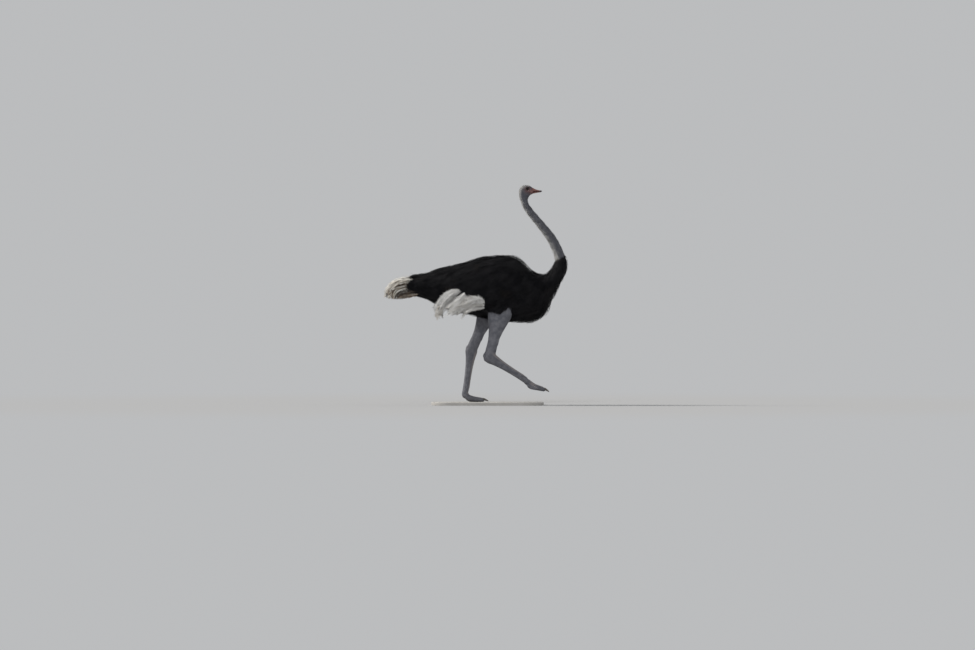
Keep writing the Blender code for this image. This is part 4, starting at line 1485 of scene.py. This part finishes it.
def make_hair(neck):
    """The hairs of crown, face and neck, the collar's short black plumes and the nape's down."""

    def on_crown(points, normals):
        """1 on the crown and nape, and less down the back of the neck."""
        up_back = normals[:, 2] * 0.75 - normals[:, 0] * 0.65
        above_neck = smoothstep(points[:, 2], neck_top - 0.02, neck_top + 0.03)
        return smoothstep(up_back, 0.15, 0.75) * above_neck

    # The side that faces back, towards the key lamp. The neck's down stands denser and longer there,
    # and is painted paler there as painted light.
    def back(normals):
        return smoothstep(-normals[:, 0] + 0.3 * normals[:, 2], -0.1, 0.6)

    def bare_face(points):
        return smoothstep(points[:, 0], bill_low.x - 0.020, bill_low.x - 0.004)

    def crown_keep(points, normals):
        crown = on_crown(points, normals)
        return crown * (1 - bare_face(points)) * (1 - near_eye(points, 0.020))

    def face_keep(points, _):
        on_face = points[:, 2] > neck_top - 0.01
        return on_face * (1 - bare_face(points)) * (1 - near_eye(points, 0.021))

    def neck_keep(points, normals):
        below_head = smoothstep(points[:, 2], neck_top + 0.03, neck_top - 0.09)
        bare = smoothstep(above_collar(points), -0.01, 0.01)
        return below_head * bare * (0.4 + 0.6 * back(normals))

    def collar_keep(points, _):
        return band(above_collar(points), -0.055, -0.040, 0.010, 0.030)

    def nape_keep(points, normals):
        behind = smoothstep(-normals[:, 0], 0.2, 0.7)
        return behind * band(above_collar(points), -0.012, 0.004, 0.03, 0.10)

    hair_coat("crown_hair", neck, 0.0033, crown_keep, length=0.0135, stand=0.55, pale=0.75,
              blade=0.00055, hairs=3, slot="neck_skin")
    hair_coat("face_down", neck, 0.0034, face_keep, length=0.0042, stand=0.30,
              pale=lambda p, n: 0.25 + 0.4 * on_crown(p, n), blade=0.0004, hairs=2)
    # Painted light: the neck's down paler towards the back, where the key lamp falls.
    hair_coat("neck_down", neck, 0.0043, neck_keep, length=lambda p, n: 0.011 + 0.008 * back(n),
              stand=0.32, pale=lambda p, n: 0.30 + 0.70 * back(n), blade=0.0007, hairs=3)
    hair_coat("collar_plumes", neck, 0.0048, collar_keep, length=0.020, stand=0.10, pale=0.0,
              blade=0.0016, hairs=8, kind="black", slot="black_plume")
    hair_coat("nape_plumes", neck, 0.0062, nape_keep, length=0.034, stand=0.45, pale=1.0,
              blade=0.0010, hairs=7)


LASHES = 40
LASH_LENGTH = 0.0185


def make_lashes(lids):
    """Dark bristles along each upper lid, and shorter ones along the lower."""
    roots, ways, ups, lengths = [], [], [], []
    for side, rings in lids.items():
        out, ahead, up = eye_frame(side)
        for angles, length in ((np.linspace(0.10, 0.92, LASHES), LASH_LENGTH),
                               (np.linspace(1.15, 1.85, LASHES // 2), LASH_LENGTH * 0.4)):
            turn = angles * math.pi
            at = np.round(turn / math.tau * LID_ANGLES).astype(int) % LID_ANGLES
            shift = RANDOM.normal(0, 0.0004, (len(at), 3))
            roots.append(rings[3, at] + shift)
            way = (out * 0.70 + np.cos(turn)[:, None] * ahead * 0.60
                   + np.sin(turn)[:, None] * up * 0.50)
            ways.append(unit(way))
            ups.append(np.broadcast_to(out, way.shape))
            lengths.append(np.full(len(at), length))
    roots, ways, ups = (np.concatenate(rows) for rows in (roots, ways, ups))
    parts = bristles(roots, ways, np.concatenate(lengths), blade=0.0009, hairs=2, loose=0.08,
                     fall=0.5, spread=0.0004)
    coat_pieces("lashes", "hair", parts, roots, unit(np.cross(ups, ways)), ups,
                {"pale": np.zeros(len(parts[0]))})


def main():
    add_camera()
    add_world()
    add_floor(add_lights())
    horns = {name: horn_surface(name) for name in ("bill_upper", "bill_lower")}
    body, neck, legs, lids = make_skin(horns)
    make_eyes()
    make_bill(horns, neck)
    make_claws()
    make_stand()
    make_black_coat(body, legs)
    make_tail()
    for side in SIDES:
        make_wing_plumes(side)
    make_hair(neck)
    make_lashes(lids)


main()
